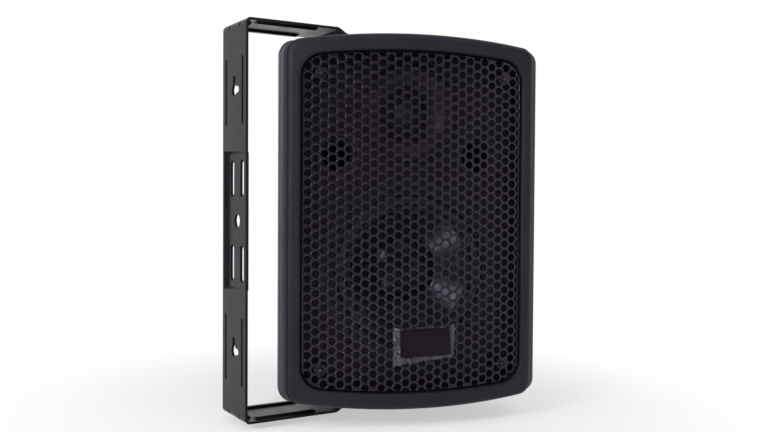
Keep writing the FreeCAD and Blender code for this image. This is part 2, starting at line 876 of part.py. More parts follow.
def woofer_basket():
    """Pressed frame: flange, slanted wall with windows, spider seat and cup."""
    t = basket_sheet
    mouth = basket_mouth
    seat = baffle_face + spider_seat_depth
    floor = baffle_face + basket_depth
    hole = coil_radius + winding_height + 4 * coil_gap
    neck = baffle_face + baffle_wall
    profile = [(mouth, flange_face), (flange_radius, flange_face), (flange_radius, baffle_face),
               (mouth + t, baffle_face), (mouth + t, neck), (spider_seat_radius + t, seat),
               (spider_seat_radius + t, seat + t), (basket_cup_radius + t, seat + t),
               (basket_cup_radius + t, floor + t), (hole, floor + t), (hole, floor),
               (basket_cup_radius, floor), (basket_cup_radius, seat), (spider_seat_radius, seat),
               (mouth, neck)]
    body = turned(profile, 0, woofer_z)
    low = neck + woofer_window_margin
    high = seat - woofer_window_margin
    windows = []
    for i in range(4):
        window = block(0, 0, woofer_window_width, woofer_window_width, low, high)
        window = window.translated(V(flange_radius - woofer_window_width / 2, 0, 0))
        window.rotate(V(0, 0, 0), REAR, 90.0 * i)
        windows.append(window.translated(V(0, 0, woofer_z)))
    holes = [rod(x, z, trim_screw + screw_clearance, flange_face - overshoot, baffle_face + overshoot)
             for x, z in around(woofer_bolt_circle, 4, 0, woofer_z)]
    return body.cut(windows + holes)


def woofer_surround():
    """Half-roll edge between the cone and the frame, with a flat lip on each side."""
    low = flange_face
    high = flange_face - surround_sheet
    middle = (roll_outer + roll_inner) / 2
    roll = (roll_outer - roll_inner) / 2

    def at(r, y):
        return V(r, y, woofer_z)

    inner_roll = roll - surround_sheet
    edges = [line(at(lip_radius, low), at(lip_radius, high)),
             line(at(lip_radius, high), at(roll_outer, high)),
             arc(at(roll_outer, high), at(middle, high - roll), at(roll_inner, high)),
             line(at(roll_inner, high), at(roll_inner - cone_lap, high)),
             line(at(roll_inner - cone_lap, high), at(roll_inner - cone_lap, low)),
             line(at(roll_inner - cone_lap, low), at(middle - inner_roll, low)),
             arc(at(middle - inner_roll, low), at(middle, low - inner_roll), at(middle + inner_roll, low)),
             line(at(middle + inner_roll, low), at(lip_radius, low))]
    return Part.Face(Part.Wire(edges)).revolve(V(0, 0, woofer_z), REAR, 360)


def woofer_gasket():
    rear = flange_face - surround_sheet
    return ring(0, woofer_z, lip_radius, roll_outer + screw_clearance, rear - gasket_height, rear)


def cone_rim():
    return roll_inner - cone_lap


def cone_depth_at(radius):
    """Depth of the cone's front face at a radius."""
    share = (cone_rim() - radius) / (cone_rim() - coil_radius)
    return flange_face + cone_depth * share


def woofer_cone():
    front = flange_face
    neck = flange_face + cone_depth
    slanted = cone_sheet * 1.3
    profile = [(coil_radius, neck), (cone_rim(), front), (roll_inner, front),
               (roll_inner, front + cone_sheet), (cone_rim(), front + cone_sheet),
               (coil_radius, neck + slanted)]
    return turned(profile, 0, woofer_z)


def dome(radius, rise, wall, base, z):
    """Thin spherical cap, convex to the front, standing on the depth base."""
    ball = (radius ** 2 + rise ** 2) / (2 * rise)
    centre = base - rise + ball

    def on(size, r):
        return V(r, centre - math.sqrt(size ** 2 - r ** 2), z)

    foot = math.sqrt((ball - wall) ** 2 - (ball - rise) ** 2)
    edges = [arc(on(ball, 0), on(ball, radius / 2), on(ball, radius)),
             line(on(ball, radius), on(ball - wall, foot)),
             arc(on(ball - wall, foot), on(ball - wall, foot / 2), on(ball - wall, 0)),
             line(on(ball - wall, 0), on(ball, 0))]
    return Part.Face(Part.Wire(edges)).revolve(V(0, 0, z), REAR, 360)


def woofer_dust_cap():
    return dome(cap_radius, cap_height, surround_sheet, cone_depth_at(cap_radius), woofer_z)


def gap_middle():
    return baffle_face + basket_depth + basket_sheet + motor_plate / 2


def woofer_voice_coil():
    """Thin former with the winding round its rear end."""
    front = flange_face + cone_depth
    start = gap_middle() - winding_length / 2
    end = gap_middle() + winding_length / 2
    inside = coil_radius - former_sheet
    wire = coil_radius + winding_height
    profile = [(inside, front), (coil_radius, front), (coil_radius, start), (wire, start), (wire, end),
               (coil_radius, end), (coil_radius, end + former_tail), (inside, end + former_tail)]
    return turned(profile, 0, woofer_z)


def woofer_spider():
    """Corrugated centring disc between the former and the frame."""
    rear = baffle_face + spider_seat_depth
    span = basket_cup_radius - coil_radius
    step = span / (2 * spider_rolls)
    front_points = [(coil_radius, rear - spider_sheet)]
    rear_points = [(coil_radius, rear)]
    for i in range(1, 2 * spider_rolls):
        r = coil_radius + i * step
        lift = spider_wave if i % 2 else -spider_wave
        front_points.append((r, rear - spider_sheet - lift))
        rear_points.append((r, rear - lift))
    edge = spider_seat_radius - screw_clearance
    front_points += [(basket_cup_radius, rear - spider_sheet), (edge, rear - spider_sheet)]
    rear_points += [(basket_cup_radius, rear), (edge, rear)]
    return turned(front_points + rear_points[::-1], 0, woofer_z)


def woofer_top_plate():
    front = baffle_face + basket_depth + basket_sheet
    hole = coil_radius + winding_height + coil_gap
    return ring(0, woofer_z, motor_plate_radius, hole, front, front + motor_plate)


def woofer_magnet():
    front = baffle_face + basket_depth + basket_sheet + motor_plate
    return ring(0, woofer_z, magnet_radius, magnet_hole, front, front + magnet_height)


def woofer_back_plate():
    """Rear plate with the pole that stands in the coil."""
    front = baffle_face + basket_depth + basket_sheet
    plate = front + motor_plate + magnet_height
    pole = coil_radius - former_sheet - coil_gap
    profile = [(0, front), (pole, front), (pole, plate), (motor_plate_radius, plate),
               (motor_plate_radius, plate + motor_plate), (0, plate + motor_plate)]
    return turned(profile, 0, woofer_z)


def woofer_screws():
    head = trim_head * 0.9
    length = baffle_wall + basket_sheet
    return group([screw(x, z, flange_face, trim_screw, head, trim_head_height, length)
                  for x, z in around(woofer_bolt_circle, 4, 0, woofer_z)])


def woofer_terminals():
    """Tag plate behind the spider seat with two solder tags."""
    front = baffle_face + spider_seat_depth + basket_sheet
    low = woofer_z + basket_cup_radius + basket_sheet
    plate = box(-tag_width / 2, tag_width / 2, front, front + tag_sheet, low, low + tag_length)
    tags = [box(side - tag_sheet, side + tag_sheet, front + tag_sheet, front + tag_length / 2,
                low + tag_length - 2 * tag_sheet, low + tag_length - tag_sheet)
            for side in (-tag_width / 4, tag_width / 4)]
    return join([plate] + tags)


# Tweeter

def tweeter_faceplate():
    """Round plate with a flared throat and the seat of the dome behind it."""
    front = baffle_face - faceplate_height
    throat = baffle_face + throat_depth
    rear = throat + dome_ring_height
    seat = dome_ring_radius + screw_clearance
    bevel = faceplate_height * 0.4

    def at(r, y):
        return V(r, y, tweeter_z)

    half_way = (flare_radius + throat_radius) / 2 - (throat_depth / 4)
    edges = [arc(at(flare_radius, front), at(half_way, (front + throat) / 2 - throat_depth / 8),
                 at(throat_radius, throat)),
             line(at(throat_radius, throat), at(seat, throat)),
             line(at(seat, throat), at(seat, rear)),
             line(at(seat, rear), at(tweeter_body_radius, rear)),
             line(at(tweeter_body_radius, rear), at(tweeter_body_radius, baffle_face)),
             line(at(tweeter_body_radius, baffle_face), at(faceplate_radius, baffle_face)),
             line(at(faceplate_radius, baffle_face), at(faceplate_radius, front + bevel)),
             line(at(faceplate_radius, front + bevel), at(faceplate_radius - bevel, front)),
             line(at(faceplate_radius - bevel, front), at(flare_radius, front))]
    body = Part.Face(Part.Wire(edges)).revolve(V(0, 0, tweeter_z), REAR, 360)
    holes = [rod(x, z, small_screw + screw_clearance, front - overshoot, baffle_face + overshoot)
             for x, z in around(tweeter_bolt_circle, 4, 0, tweeter_z)]
    return body.cut(holes)


def tweeter_dome():
    base = baffle_face + throat_depth
    flat = ring(0, tweeter_z, dome_ring_radius, dome_radius - dome_sheet, base, base + dome_ring_height)
    return join([dome(dome_radius, dome_rise, dome_sheet, base + dome_sheet, tweeter_z), flat])


def tweeter_motor_face():
    return baffle_face + throat_depth + dome_ring_height


def tweeter_top_plate():
    front = tweeter_motor_face()
    return ring(0, tweeter_z, tweeter_plate_radius, tweeter_gap_radius, front, front + tweeter_plate)


def tweeter_magnet():
    front = tweeter_motor_face() + tweeter_plate
    rear = front + tweeter_magnet_height
    return ring(0, tweeter_z, tweeter_magnet_radius, tweeter_magnet_hole, front, rear)


def tweeter_back_plate():
    plate = tweeter_motor_face() + tweeter_plate + tweeter_magnet_height
    front = tweeter_motor_face() + dome_sheet
    profile = [(0, front), (tweeter_pole_radius, front), (tweeter_pole_radius, plate),
               (tweeter_plate_radius, plate), (tweeter_plate_radius, plate + tweeter_plate),
               (0, plate + tweeter_plate)]
    return turned(profile, 0, tweeter_z)


def tweeter_screws():
    front = baffle_face - faceplate_height
    head = small_head * 0.9
    length = faceplate_height + baffle_wall
    return group([screw(x, z, front, small_screw, head, small_head_height, length)
                  for x, z in around(tweeter_bolt_circle, 4, 0, tweeter_z)])


def port_tube(side):
    """Straight reflex tube with a flared mouth and a flange on the baffle."""
    front = baffle_face - port_flange
    outer = port_radius + port_wall
    profile = [(port_radius + port_flare, front), (port_flange_radius, front),
               (port_flange_radius, baffle_face), (outer, baffle_face), (outer, front + port_length),
               (port_radius, front + port_length), (port_radius, front + 2 * port_flare)]
    return turned(profile, side * port_x, port_z)


# Amplifier panel and what it carries

def panel_screw_places():
    x = panel_width / 2 - panel_screw_inset
    z = panel_height / 2 - panel_screw_inset
    return corners(x, z) + corners(x, panel_screw_z)


def rounded_panel(width, height, corner, y0, y1):
    plate = block(0, 0, width, height, y0, y1)
    upright = [e for e in plate.Edges if abs(e.CenterOfMass.y - (y0 + y1) / 2) < 0.01]
    return plate.makeFillet(corner, upright)


def knob_places():
    return [(knob_pitch * i, knob_z) for i in (-1, 0, 1)]


def jack_places():
    return [(jack_x - jack_pitch / 2, jack_z), (jack_x + jack_pitch / 2, jack_z)]


def board_studs():
    heights = (board_bottom + stud_inset, board_top - stud_inset)
    return [(side * stud_x, z) for side in (-1, 1) for z in heights]


def filter_studs():
    low = filter_z - filter_height / 2 + stud_inset
    high = filter_z + filter_height / 2 - stud_inset
    half = filter_width / 2 - stud_inset
    return [(filter_x + side * half, z) for side in (-1, 1) for z in (low, high)]


def amp_panel():
    """Aluminium back plate with pressed studs for the boards."""
    plate = rounded_panel(panel_width, panel_height, panel_corner, panel_inner, panel_outer)
    studs = [rod(x, z, stud_radius, board_face, panel_inner) for x, z in board_studs()]
    studs += [rod(x, z, stud_radius, panel_inner - filter_standoff, panel_inner) for x, z in filter_studs()]
    body = join([plate] + studs)
    y0 = panel_inner - overshoot
    y1 = panel_outer + overshoot
    slack = 2 * cut_gap
    clip_cut = (clip_width - 2 * clip_lap + slack, clip_height - 2 * clip_lap + slack)
    cuts = [block(clip_x, clip_z, clip_cut[0], clip_cut[1], y0, y1),
            block(switch_x, switch_z, switch_body_width + slack, switch_body_height + slack, y0, y1),
            block(inlet_x, inlet_z, inlet_body_width + slack, inlet_body_height + slack, y0, y1),
            rod(led_x, led_z, led_radius, y0, y1)]
    cuts += [rod(x, z, bushing_radius, y0, y1) for x, z in knob_places()]
    cuts += [rod(x, z, jack_radius, y0, y1) for x, z in jack_places()]
    cuts += [rod(x, z, small_screw + screw_clearance, y0, y1) for x, z in panel_screw_places()]
    return body.cut(cuts)


def amp_panel_gasket():
    seal = rounded_panel(panel_width, panel_height, panel_corner, back_lead, panel_inner)
    window = block(0, 0, panel_width - 2 * panel_lap, panel_height - 2 * panel_lap, back_lead, panel_inner)
    hole = small_screw + screw_clearance
    return seal.cut([window] + [rod(x, z, hole, back_lead, panel_inner) for x, z in panel_screw_places()])


def amp_panel_screws():
    screws = []
    length = panel_sheet + seal_height + shell_wall
    for x, z in panel_screw_places():
        one = screw(x, z, 0, small_screw, small_head, small_head_height, length)
        one.rotate(V(x, 0, z), UP, 180)
        screws.append(one.translated(V(0, panel_outer, 0)))
    return group(screws)


def heat_sink():
    """Extruded heat sink: a base with upright fins."""
    fin_face = panel_outer + sink_base
    base = box(-sink_width / 2, sink_width / 2, panel_outer, fin_face, sink_bottom, sink_top)
    pitch = (sink_width - fin_sheet) / (fin_count - 1)
    fins = []
    for i in range(fin_count):
        x = -sink_width / 2 + i * pitch
        fins.append(box(x, x + fin_sheet, fin_face, fin_face + fin_height, sink_bottom, sink_top))
    return join([base] + fins)


def potentiometers():
    """Three controls: a body behind the panel and a bushing through it."""
    controls = []
    for x, z in knob_places():
        body = block(x, z, pot_side, pot_side, board_face, panel_inner)
        bushing = rod(x, z, bushing_radius, panel_inner, panel_outer + bushing_height)
        bore = rod(x, z, spindle_radius + spindle_clearance, spindle_end(), panel_outer + bushing_height)
        controls.append(join([body, bushing]).cut(bore))
    return group(controls)


def spindle_end():
    return panel_outer + bushing_height + knob_lift - spindle_length


def control_knob(index):
    """Fluted knob moulded with its spindle, with a pointer groove."""
    x, z = knob_places()[index]
    rear = panel_outer + bushing_height + knob_lift
    face = rear + knob_height
    edge = knob_radius * 0.9
    skirt = rear + knob_height * 0.3
    first_flute = 90.0 + 180.0 / knob_flutes
    body = turned([(0, rear), (knob_radius, rear), (edge, face - knob_bevel), (edge - knob_bevel, face),
                   (0, face)], x, z)
    flutes = [rod(px, pz, flute_radius, skirt, face + overshoot)
              for px, pz in around(knob_radius, knob_flutes, x, z, first_flute)]
    half = pointer_width / 2
    pointer = box(x - half, x + half, face - pointer_depth, face + overshoot, z + edge / 3, z + knob_radius)
    spindle = rod(x, z, spindle_radius, spindle_end() + spindle_clearance, rear + knob_bevel)
    return join([body.cut(flutes + [pointer]), spindle])


def amp_board():
    half = board_width / 2
    return box(-half, half, board_face - board_sheet, board_face, board_bottom, board_top)


def amp_chip():
    return block(0, chip_z, chip_width, chip_height, panel_inner - chip_depth, panel_inner)


def filter_capacitors():
    rear = board_face - board_sheet
    return group([rod(side * capacitor_x, capacitor_z, capacitor_radius, rear - capacitor_length, rear)
                  for side in (-1, 1)])


def core_window():
    """Depths and heights of the two windows in the transformer's core."""
    y0 = panel_inner - core_depth + core_leg
    y1 = panel_inner - core_leg
    outer = core_height / 2 - core_leg
    inner = core_leg
    return y0, y1, outer, inner


def transformer_core():
    y0, y1, outer, inner = core_window()
    stack = (core_x - core_stack / 2, core_x + core_stack / 2)
    body = box(stack[0], stack[1], panel_inner - core_depth, panel_inner,
               core_z - core_height / 2, core_z + core_height / 2)
    windows = [box(stack[0], stack[1], y0, y1, core_z + inner, core_z + outer),
               box(stack[0], stack[1], y0, y1, core_z - outer, core_z - inner)]
    return body.cut(windows)


def transformer_winding():
    y0, y1, outer, inner = core_window()
    x0 = core_x - core_stack / 2 - winding_bulge
    x1 = core_x + core_stack / 2 + winding_bulge
    reach = outer - winding_gap
    coil = box(x0, x1, y0 + winding_gap, y1 - winding_gap, core_z - reach, core_z + reach)
    leg = box(core_x - core_stack / 2, core_x + core_stack / 2, y0, y1, core_z - inner, core_z + inner)
    return coil.cut(leg)


def crossover_board():
    face = panel_inner - filter_standoff
    return block(filter_x, filter_z, filter_width, filter_height, face - board_sheet, face)


def crossover_coils():
    """Two chokes wound on bobbins that stand on the crossover board."""
    rear = panel_inner - filter_standoff - board_sheet
    coils = []
    for end in (-1, 1):
        z = filter_z + end * (choke_radius + choke_cheek)
        hole = choke_core_radius / 2
        waist = choke_radius - choke_cheek
        front = rear - choke_height
        profile = [(hole, rear), (choke_radius, rear), (choke_radius, rear - choke_cheek),
                   (waist, rear - choke_cheek), (waist, front + choke_cheek),
                   (choke_radius, front + choke_cheek), (choke_radius, front), (hole, front)]
        coils.append(turned(profile, filter_x - filter_width / 2 + choke_radius + choke_cheek, z))
    return group(coils)


def crossover_capacitors():
    rear = panel_inner - filter_standoff - board_sheet
    x = filter_x + filter_width / 2 - film_radius - choke_cheek
    parts = []
    for end in (-1, 1):
        low = filter_z + end * (film_length / 2 + choke_cheek) - film_length / 2
        parts.append(post(x, rear - film_radius, film_radius, low, low + film_length))
    return group(parts)


def input_jacks():
    """Pair of phono sockets that stand on the amplifier board."""
    jacks = []
    front = panel_outer + jack_flange + jack_length
    for x, z in jack_places():
        profile = [(0, board_face), (jack_radius, board_face), (jack_radius, panel_outer),
                   (jack_flange_radius, panel_outer), (jack_flange_radius, panel_outer + jack_flange),
                   (jack_radius, panel_outer + jack_flange), (jack_radius, front), (jack_bore, front),
                   (jack_bore, front - jack_bore_depth), (0, front - jack_bore_depth)]
        jacks.append(turned(profile, x, z))
    return group(jacks)


def lever_axis():
    """Depth and height of the hinge of the terminal levers."""
    depth = lever_thickness * 0.75
    foot = clip_z + clip_pocket_lift - lever_height / 2
    return panel_outer + clip_proud + lever_proud - depth, foot + lever_pin_radius


def terminal_block():
    """Spring terminals for a second speaker: a moulded block with a pocket for each lever."""
    front = panel_outer + clip_proud
    flange = block(clip_x, clip_z, clip_width + 2 * clip_lap, clip_height + 2 * clip_lap,
                   panel_outer, panel_outer + clip_flange)
    body = block(clip_x, clip_z, clip_width, clip_height, panel_outer, front)
    rear = block(clip_x, clip_z, clip_width - 2 * clip_lap, clip_height - 2 * clip_lap,
                 board_face, panel_outer)
    y, z = lever_axis()
    cuts = []
    for side in (-1, 1):
        x = clip_x + side * clip_pitch / 2
        pin_reach = lever_width / 2 + lever_pin_length + pin_clearance
        cuts.append(block(x, clip_z + clip_pocket_lift, clip_pocket_width, clip_pocket_height,
                          front - clip_pocket_depth, front + overshoot))
        start = V(x - pin_reach, y, z)
        cuts.append(Part.makeCylinder(lever_pin_radius + pin_clearance, 2 * pin_reach, start, RIGHT))
        cuts.append(rod(x, clip_z - wire_hole_drop, wire_hole_radius, panel_inner, front + overshoot))
    return join([flange, body, rear]).cut(cuts)


def terminal_lever(side):
    """Push lever with a finger dip and a hinge pin at its foot."""
    front = panel_outer + clip_proud + lever_proud
    x = clip_x + side * clip_pitch / 2
    y, z = lever_axis()
    middle = clip_z + clip_pocket_lift
    body = block(x, middle, lever_width, lever_height, front - lever_thickness, front)
    dip_axis = V(x - lever_width / 2, front + lever_height * 0.9, middle)
    dip = Part.makeCylinder(lever_height, lever_width, dip_axis, RIGHT)
    pin_reach = lever_width / 2 + lever_pin_length
    pin = Part.makeCylinder(lever_pin_radius, 2 * pin_reach, V(x - pin_reach, y, z), RIGHT)
    return join([body.cut(dip), pin])


def rocker_axis():
    return panel_outer + switch_flange - rocker_pivot


def power_switch():
    """Snap-in switch housing with a well for the rocker."""
    face = panel_outer + switch_flange
    flange = block(switch_x, switch_z, switch_width, switch_height, panel_outer, face)
    body = block(switch_x, switch_z, switch_body_width, switch_body_height,
                 panel_outer - switch_depth, panel_outer)
    well = block(switch_x, switch_z, rocker_width + 2 * rocker_gap, rocker_height + 2 * rocker_gap,
                 face - switch_well, face + overshoot)
    reach = rocker_height / 2 + rocker_pin_length + pin_clearance
    slot = rocker_pin_radius + pin_clearance
    pin = post(switch_x, rocker_axis(), slot, switch_z - reach, switch_z + reach)
    return join([flange, body]).cut([well, pin])


def power_rocker():
    """Rocker with a shallow V face, shown tilted to its off side."""
    face = panel_outer + switch_flange + rocker_gap
    half = rocker_width / 2
    low = switch_z - rocker_height / 2
    foot = half * 0.85
    rear = face - rocker_deep
    points = [(-half, face), (0, face - rocker_dip), (half, face), (foot, rear), (-foot, rear)]
    body = face_of([V(switch_x + x, y, low) for x, y in points]).extrude(UP * rocker_height)
    reach = rocker_height / 2 + rocker_pin_length
    pin = post(switch_x, rocker_axis(), rocker_pin_radius, switch_z - reach, switch_z + reach)
    rocker = join([body, pin])
    rocker.rotate(V(switch_x, rocker_axis(), switch_z), UP, rocker_tilt)
    return rocker


def blade_places():
    half = blade_pitch / 2
    return [(inlet_x - half, inlet_z - blade_offset), (inlet_x + half, inlet_z - blade_offset),
            (inlet_x, inlet_z + blade_offset)]


def mains_inlet():
    """Snap-in three-pole inlet: a chamfered socket with its blades at the back."""
    face = panel_outer + inlet_flange
    flange = block(inlet_x, inlet_z, inlet_width, inlet_height, panel_outer, face)
    body = block(inlet_x, inlet_z, inlet_body_width, inlet_body_height,
                 panel_outer - inlet_depth, panel_outer)
    half = socket_width / 2
    top = socket_height / 2
    bevel = socket_chamfer
    points = [(-half, -top), (half, -top), (half, top - bevel), (half - bevel, top), (bevel - half, top),
              (-half, top - bevel)]
    well = face_of([V(inlet_x + x, face - socket_depth, inlet_z + z) for x, z in points])
    cuts = [well.extrude(V(0, socket_depth + overshoot, 0))]
    for x, z in blade_places():
        cuts.append(block(x, z, blade_width, blade_height, panel_outer - inlet_depth - overshoot, face))
    return join([flange, body]).cut(cuts)


def inlet_blades():
    floor = panel_outer + inlet_flange - socket_depth
    return group([block(x, z, blade_width, blade_height, floor - blade_tail, floor + blade_length)
                  for x, z in blade_places()])


def power_led():
    base = panel_outer + led_proud
    bend = led_radius * 0.7
    profile = [(0, base - led_length), (led_radius, base - led_length), (led_radius, base),
               (bend, base + bend), (0, base + led_radius)]
    return turned(profile, led_x, led_z)


def place(shape):
    """Swing a piece of the cabinet about the swivel axis and move it to the bracket."""
    shape = shape.copy()
    shape.rotate(V(0, 0, 0), UP, -swing)
    return shape.translated(V(0, pivot_y, 0))


fixed_nodes = {"wall_bracket": wall_bracket()}

cabinet_nodes = {
    "pivot_bolts": pivot_bolts(),
    "bolt_washers": bolt_washers(),
    "friction_washers": friction_washers(),
    "pivot_inserts": pivot_inserts(),
    "front_frame": front_frame(),
    "rear_shell": rear_shell(),
    "cabinet_gasket": cabinet_gasket(),
    "cabinet_screws": cabinet_screws(),
    "front_grille": front_grille(),
    "grille_screws": grille_screws(),
    "badge": badge(),
    "woofer_basket": woofer_basket(),
    "woofer_gasket": woofer_gasket(),
    "woofer_surround": woofer_surround(),
    "woofer_cone": woofer_cone(),
    "woofer_dust_cap": woofer_dust_cap(),
    "woofer_voice_coil": woofer_voice_coil(),
    "woofer_spider": woofer_spider(),
    "woofer_top_plate": woofer_top_plate(),
    "woofer_magnet": woofer_magnet(),
    "woofer_back_plate": woofer_back_plate(),
    "woofer_screws": woofer_screws(),
    "woofer_terminals": woofer_terminals(),
    "tweeter_faceplate": tweeter_faceplate(),
    "tweeter_dome": tweeter_dome(),
    "tweeter_top_plate": tweeter_top_plate(),
    "tweeter_magnet": tweeter_magnet(),
    "tweeter_back_plate": tweeter_back_plate(),
    "tweeter_screws": tweeter_screws(),
    "left_port_tube": port_tube(-1),
    "right_port_tube": port_tube(1),
    "amp_panel": amp_panel(),
    "amp_panel_gasket": amp_panel_gasket(),
    "amp_panel_screws": amp_panel_screws(),
    "heat_sink": heat_sink(),
    "potentiometers": potentiometers(),
    "volume_knob": control_knob(0),
    "bass_knob": control_knob(1),
    "treble_knob": control_knob(2),
    "amp_board": amp_board(),
    "amp_chip": amp_chip(),
    "filter_capacitors": filter_capacitors(),
    "transformer_core": transformer_core(),
    "transformer_winding": transformer_winding(),
    "crossover_board": crossover_board(),
    "crossover_coils": crossover_coils(),
    "crossover_capacitors": crossover_capacitors(),
    "input_jacks": input_jacks(),
    "terminal_block": terminal_block(),
    "red_lever": terminal_lever(-1),
    "black_lever": terminal_lever(1),
    "power_switch": power_switch(),
    "power_rocker": power_rocker(),
    "mains_inlet": mains_inlet(),
    "inlet_blades": inlet_blades(),
    "power_led": power_led(),
}

os.makedirs("parts", exist_ok=True)
for name, shape in fixed_nodes.items():
    shape.exportStep("parts/" + name + ".step")
for name, shape in cabinet_nodes.items():
    place(shape).exportStep("parts/" + name + ".step")
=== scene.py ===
import bmesh
import bpy
import math
from mathutils import Matrix, Vector, geometry, noise


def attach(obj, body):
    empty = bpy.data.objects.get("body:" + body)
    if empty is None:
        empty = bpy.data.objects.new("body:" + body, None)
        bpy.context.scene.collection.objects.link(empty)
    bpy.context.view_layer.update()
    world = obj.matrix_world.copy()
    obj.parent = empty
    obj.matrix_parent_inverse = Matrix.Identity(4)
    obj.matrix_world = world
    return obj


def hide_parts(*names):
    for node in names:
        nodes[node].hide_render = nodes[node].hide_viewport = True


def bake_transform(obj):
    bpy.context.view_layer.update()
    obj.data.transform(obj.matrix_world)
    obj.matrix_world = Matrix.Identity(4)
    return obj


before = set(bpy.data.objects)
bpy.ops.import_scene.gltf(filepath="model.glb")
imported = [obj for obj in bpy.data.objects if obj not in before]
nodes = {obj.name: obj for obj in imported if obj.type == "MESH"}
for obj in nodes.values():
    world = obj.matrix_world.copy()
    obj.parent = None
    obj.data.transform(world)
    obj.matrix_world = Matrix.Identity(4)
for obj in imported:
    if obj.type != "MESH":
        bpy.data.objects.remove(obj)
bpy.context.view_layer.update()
scene = bpy.context.scene
MM = 0.001

# Sizes of the cabinet that the scene's own pieces follow, in millimetres about the swivel axis
SWING = math.radians(-108.7)  # cabinet's turn in its bracket
PIVOT_Y = -135.3  # swivel axis, from the wall plate
BOW = 390.0  # radius of the bowed grille
BOW_AXIS = 310.0  # depth of the bow's axis
ARCH = 700.0  # radius of the arched ends
BEHIND_BEZEL = -66.0  # depth just behind the bezel's rear edge
SPIN = Matrix.Rotation(SWING, 3, "Z")
INWARD = SPIN @ Vector((0, 1, 0))
TO_WORLD = Matrix.Translation((0, PIVOT_Y * MM, 0)) @ Matrix.Rotation(SWING, 4, "Z")


# Materials

def add_node(tree, kind, values=(), **settings):
    """New node with its settings by name and the values of its inputs as a dictionary."""
    node = tree.nodes.new(kind)
    for key, value in settings.items():
        setattr(node, key, value)
    for key, value in dict(values).items():
        node.inputs[key].default_value = value
    return node


class Nodes:
    """Small helper round one material's node tree."""
    BAND = 0.314  # width of a wave texture's stripe at scale 1, in metres
    MIX_A, MIX_B, MIX_OUT = 6, 7, 2  # sockets of a colour mix

    def __init__(self, name):
        self.material = bpy.data.materials.new(name)
        self.material.use_nodes = True
        self.tree = self.material.node_tree
        self.shader = self.tree.nodes["Principled BSDF"]
        self.place = self.add("ShaderNodeTexCoord").outputs["Object"]

    def add(self, kind, values=(), **settings):
        return add_node(self.tree, kind, values, **settings)

    def link(self, source, target):
        self.tree.links.new(source, target)

    def feed(self, source, name):
        """Link a source to an input of the shader."""
        self.link(source, self.shader.inputs[name])

    def fix(self, **values):
        """Set inputs of the shader, with _ for a space in their names."""
        for key, value in values.items():
            self.shader.inputs[key.replace("_", " ")].default_value = value

    def noise(self, scale, detail=2.0, roughness=0.5, stretch=None):
        values = {"Scale": scale, "Detail": detail, "Roughness": roughness}
        node = self.add("ShaderNodeTexNoise", values)
        source = self.place
        if stretch:
            mapping = self.add("ShaderNodeMapping", {"Scale": stretch})
            self.link(self.place, mapping.inputs["Vector"])
            source = mapping.outputs["Vector"]
        self.link(source, node.inputs["Vector"])
        return node.outputs["Fac"]

    def bands(self, axis, pitch, distortion):
        """Stripes across an axis, one every pitch metres."""
        values = {"Scale": self.BAND / pitch, "Distortion": distortion}
        node = self.add("ShaderNodeTexWave", values, wave_type="BANDS", bands_direction=axis)
        self.link(self.place, node.inputs["Vector"])
        return node.outputs["Fac"]

    def ramp(self, source, stops):
        node = self.add("ShaderNodeValToRGB")
        ramp = node.color_ramp
        while len(ramp.elements) < len(stops):
            ramp.elements.new(0.5)
        for element, (at, colour) in zip(ramp.elements, stops):
            element.position = at
            element.color = (*colour, 1)
        self.link(source, node.inputs["Fac"])
        return node.outputs["Color"]

    def spread(self, source, low, high, start=0.3, end=0.7):
        values = {"From Min": start, "From Max": end, "To Min": low, "To Max": high}
        node = self.add("ShaderNodeMapRange", values)
        self.link(source, node.inputs["Value"])
        return node.outputs["Result"]

    def behind(self, source, colour, y):
        """Another colour for what lies deeper in the cabinet than y millimetres: the painted shade on the
        baffle in the recess behind the grille.
        """
        depth = self.add("ShaderNodeVectorMath", {1: INWARD}, operation="DOT_PRODUCT")
        self.link(self.place, depth.inputs[0])
        level = (TO_WORLD @ Vector((0, y * MM, 0))).dot(INWARD)
        recess_shade = self.spread(depth.outputs["Value"], 0.0, 1.0, level - MM, level + MM)
        mix = self.add("ShaderNodeMix", {self.MIX_B: (*colour, 1)}, data_type="RGBA")
        self.link(recess_shade, mix.inputs["Factor"])
        self.link(source, mix.inputs[self.MIX_A])
        return mix.outputs[self.MIX_OUT]

    def bump(self, height, strength, distance):
        node = self.add("ShaderNodeBump", {"Strength": strength, "Distance": distance})
        self.link(height, node.inputs["Height"])
        self.feed(node.outputs["Normal"], "Normal")


def shade(colour, by):
    return tuple(c * by for c in colour)


def finish(name, colour, rough, metal=0.0, grain=900.0, depth=0.00004, strength=0.35, vary=0.18,
           specular=0.4, patch=24.0, stretch=None, dust=None, tint=(1, 1, 1), recess_shade=None):
    """Painted, moulded or metal surface with cloudy colour, uneven gloss and a fine grain.

    dust is the colour of its palest patches; the last argument holds a painted shade, a darker colour for the
    recess, and the depth behind which it holds.
    """
    n = Nodes(name)
    cloud = n.noise(patch, 4.0, 0.6, stretch)
    fine = n.noise(grain, 2.0, 0.55, stretch)
    stops = [(0.3, shade(colour, 1 - vary)), (0.7, shade(colour, 1 + vary))]
    if dust:
        stops.append((0.86, dust))
    coat = n.ramp(cloud, stops)
    if recess_shade:
        coat = n.behind(coat, *recess_shade)
    n.feed(coat, "Base Color")
    n.feed(n.spread(n.noise(patch * 3.1, 3.0), rough - 0.05, rough + 0.07), "Roughness")
    n.bump(fine, strength, depth)
    n.fix(Metallic=metal, Specular_IOR_Level=specular, Specular_Tint=(*tint, 1))
    return n.material


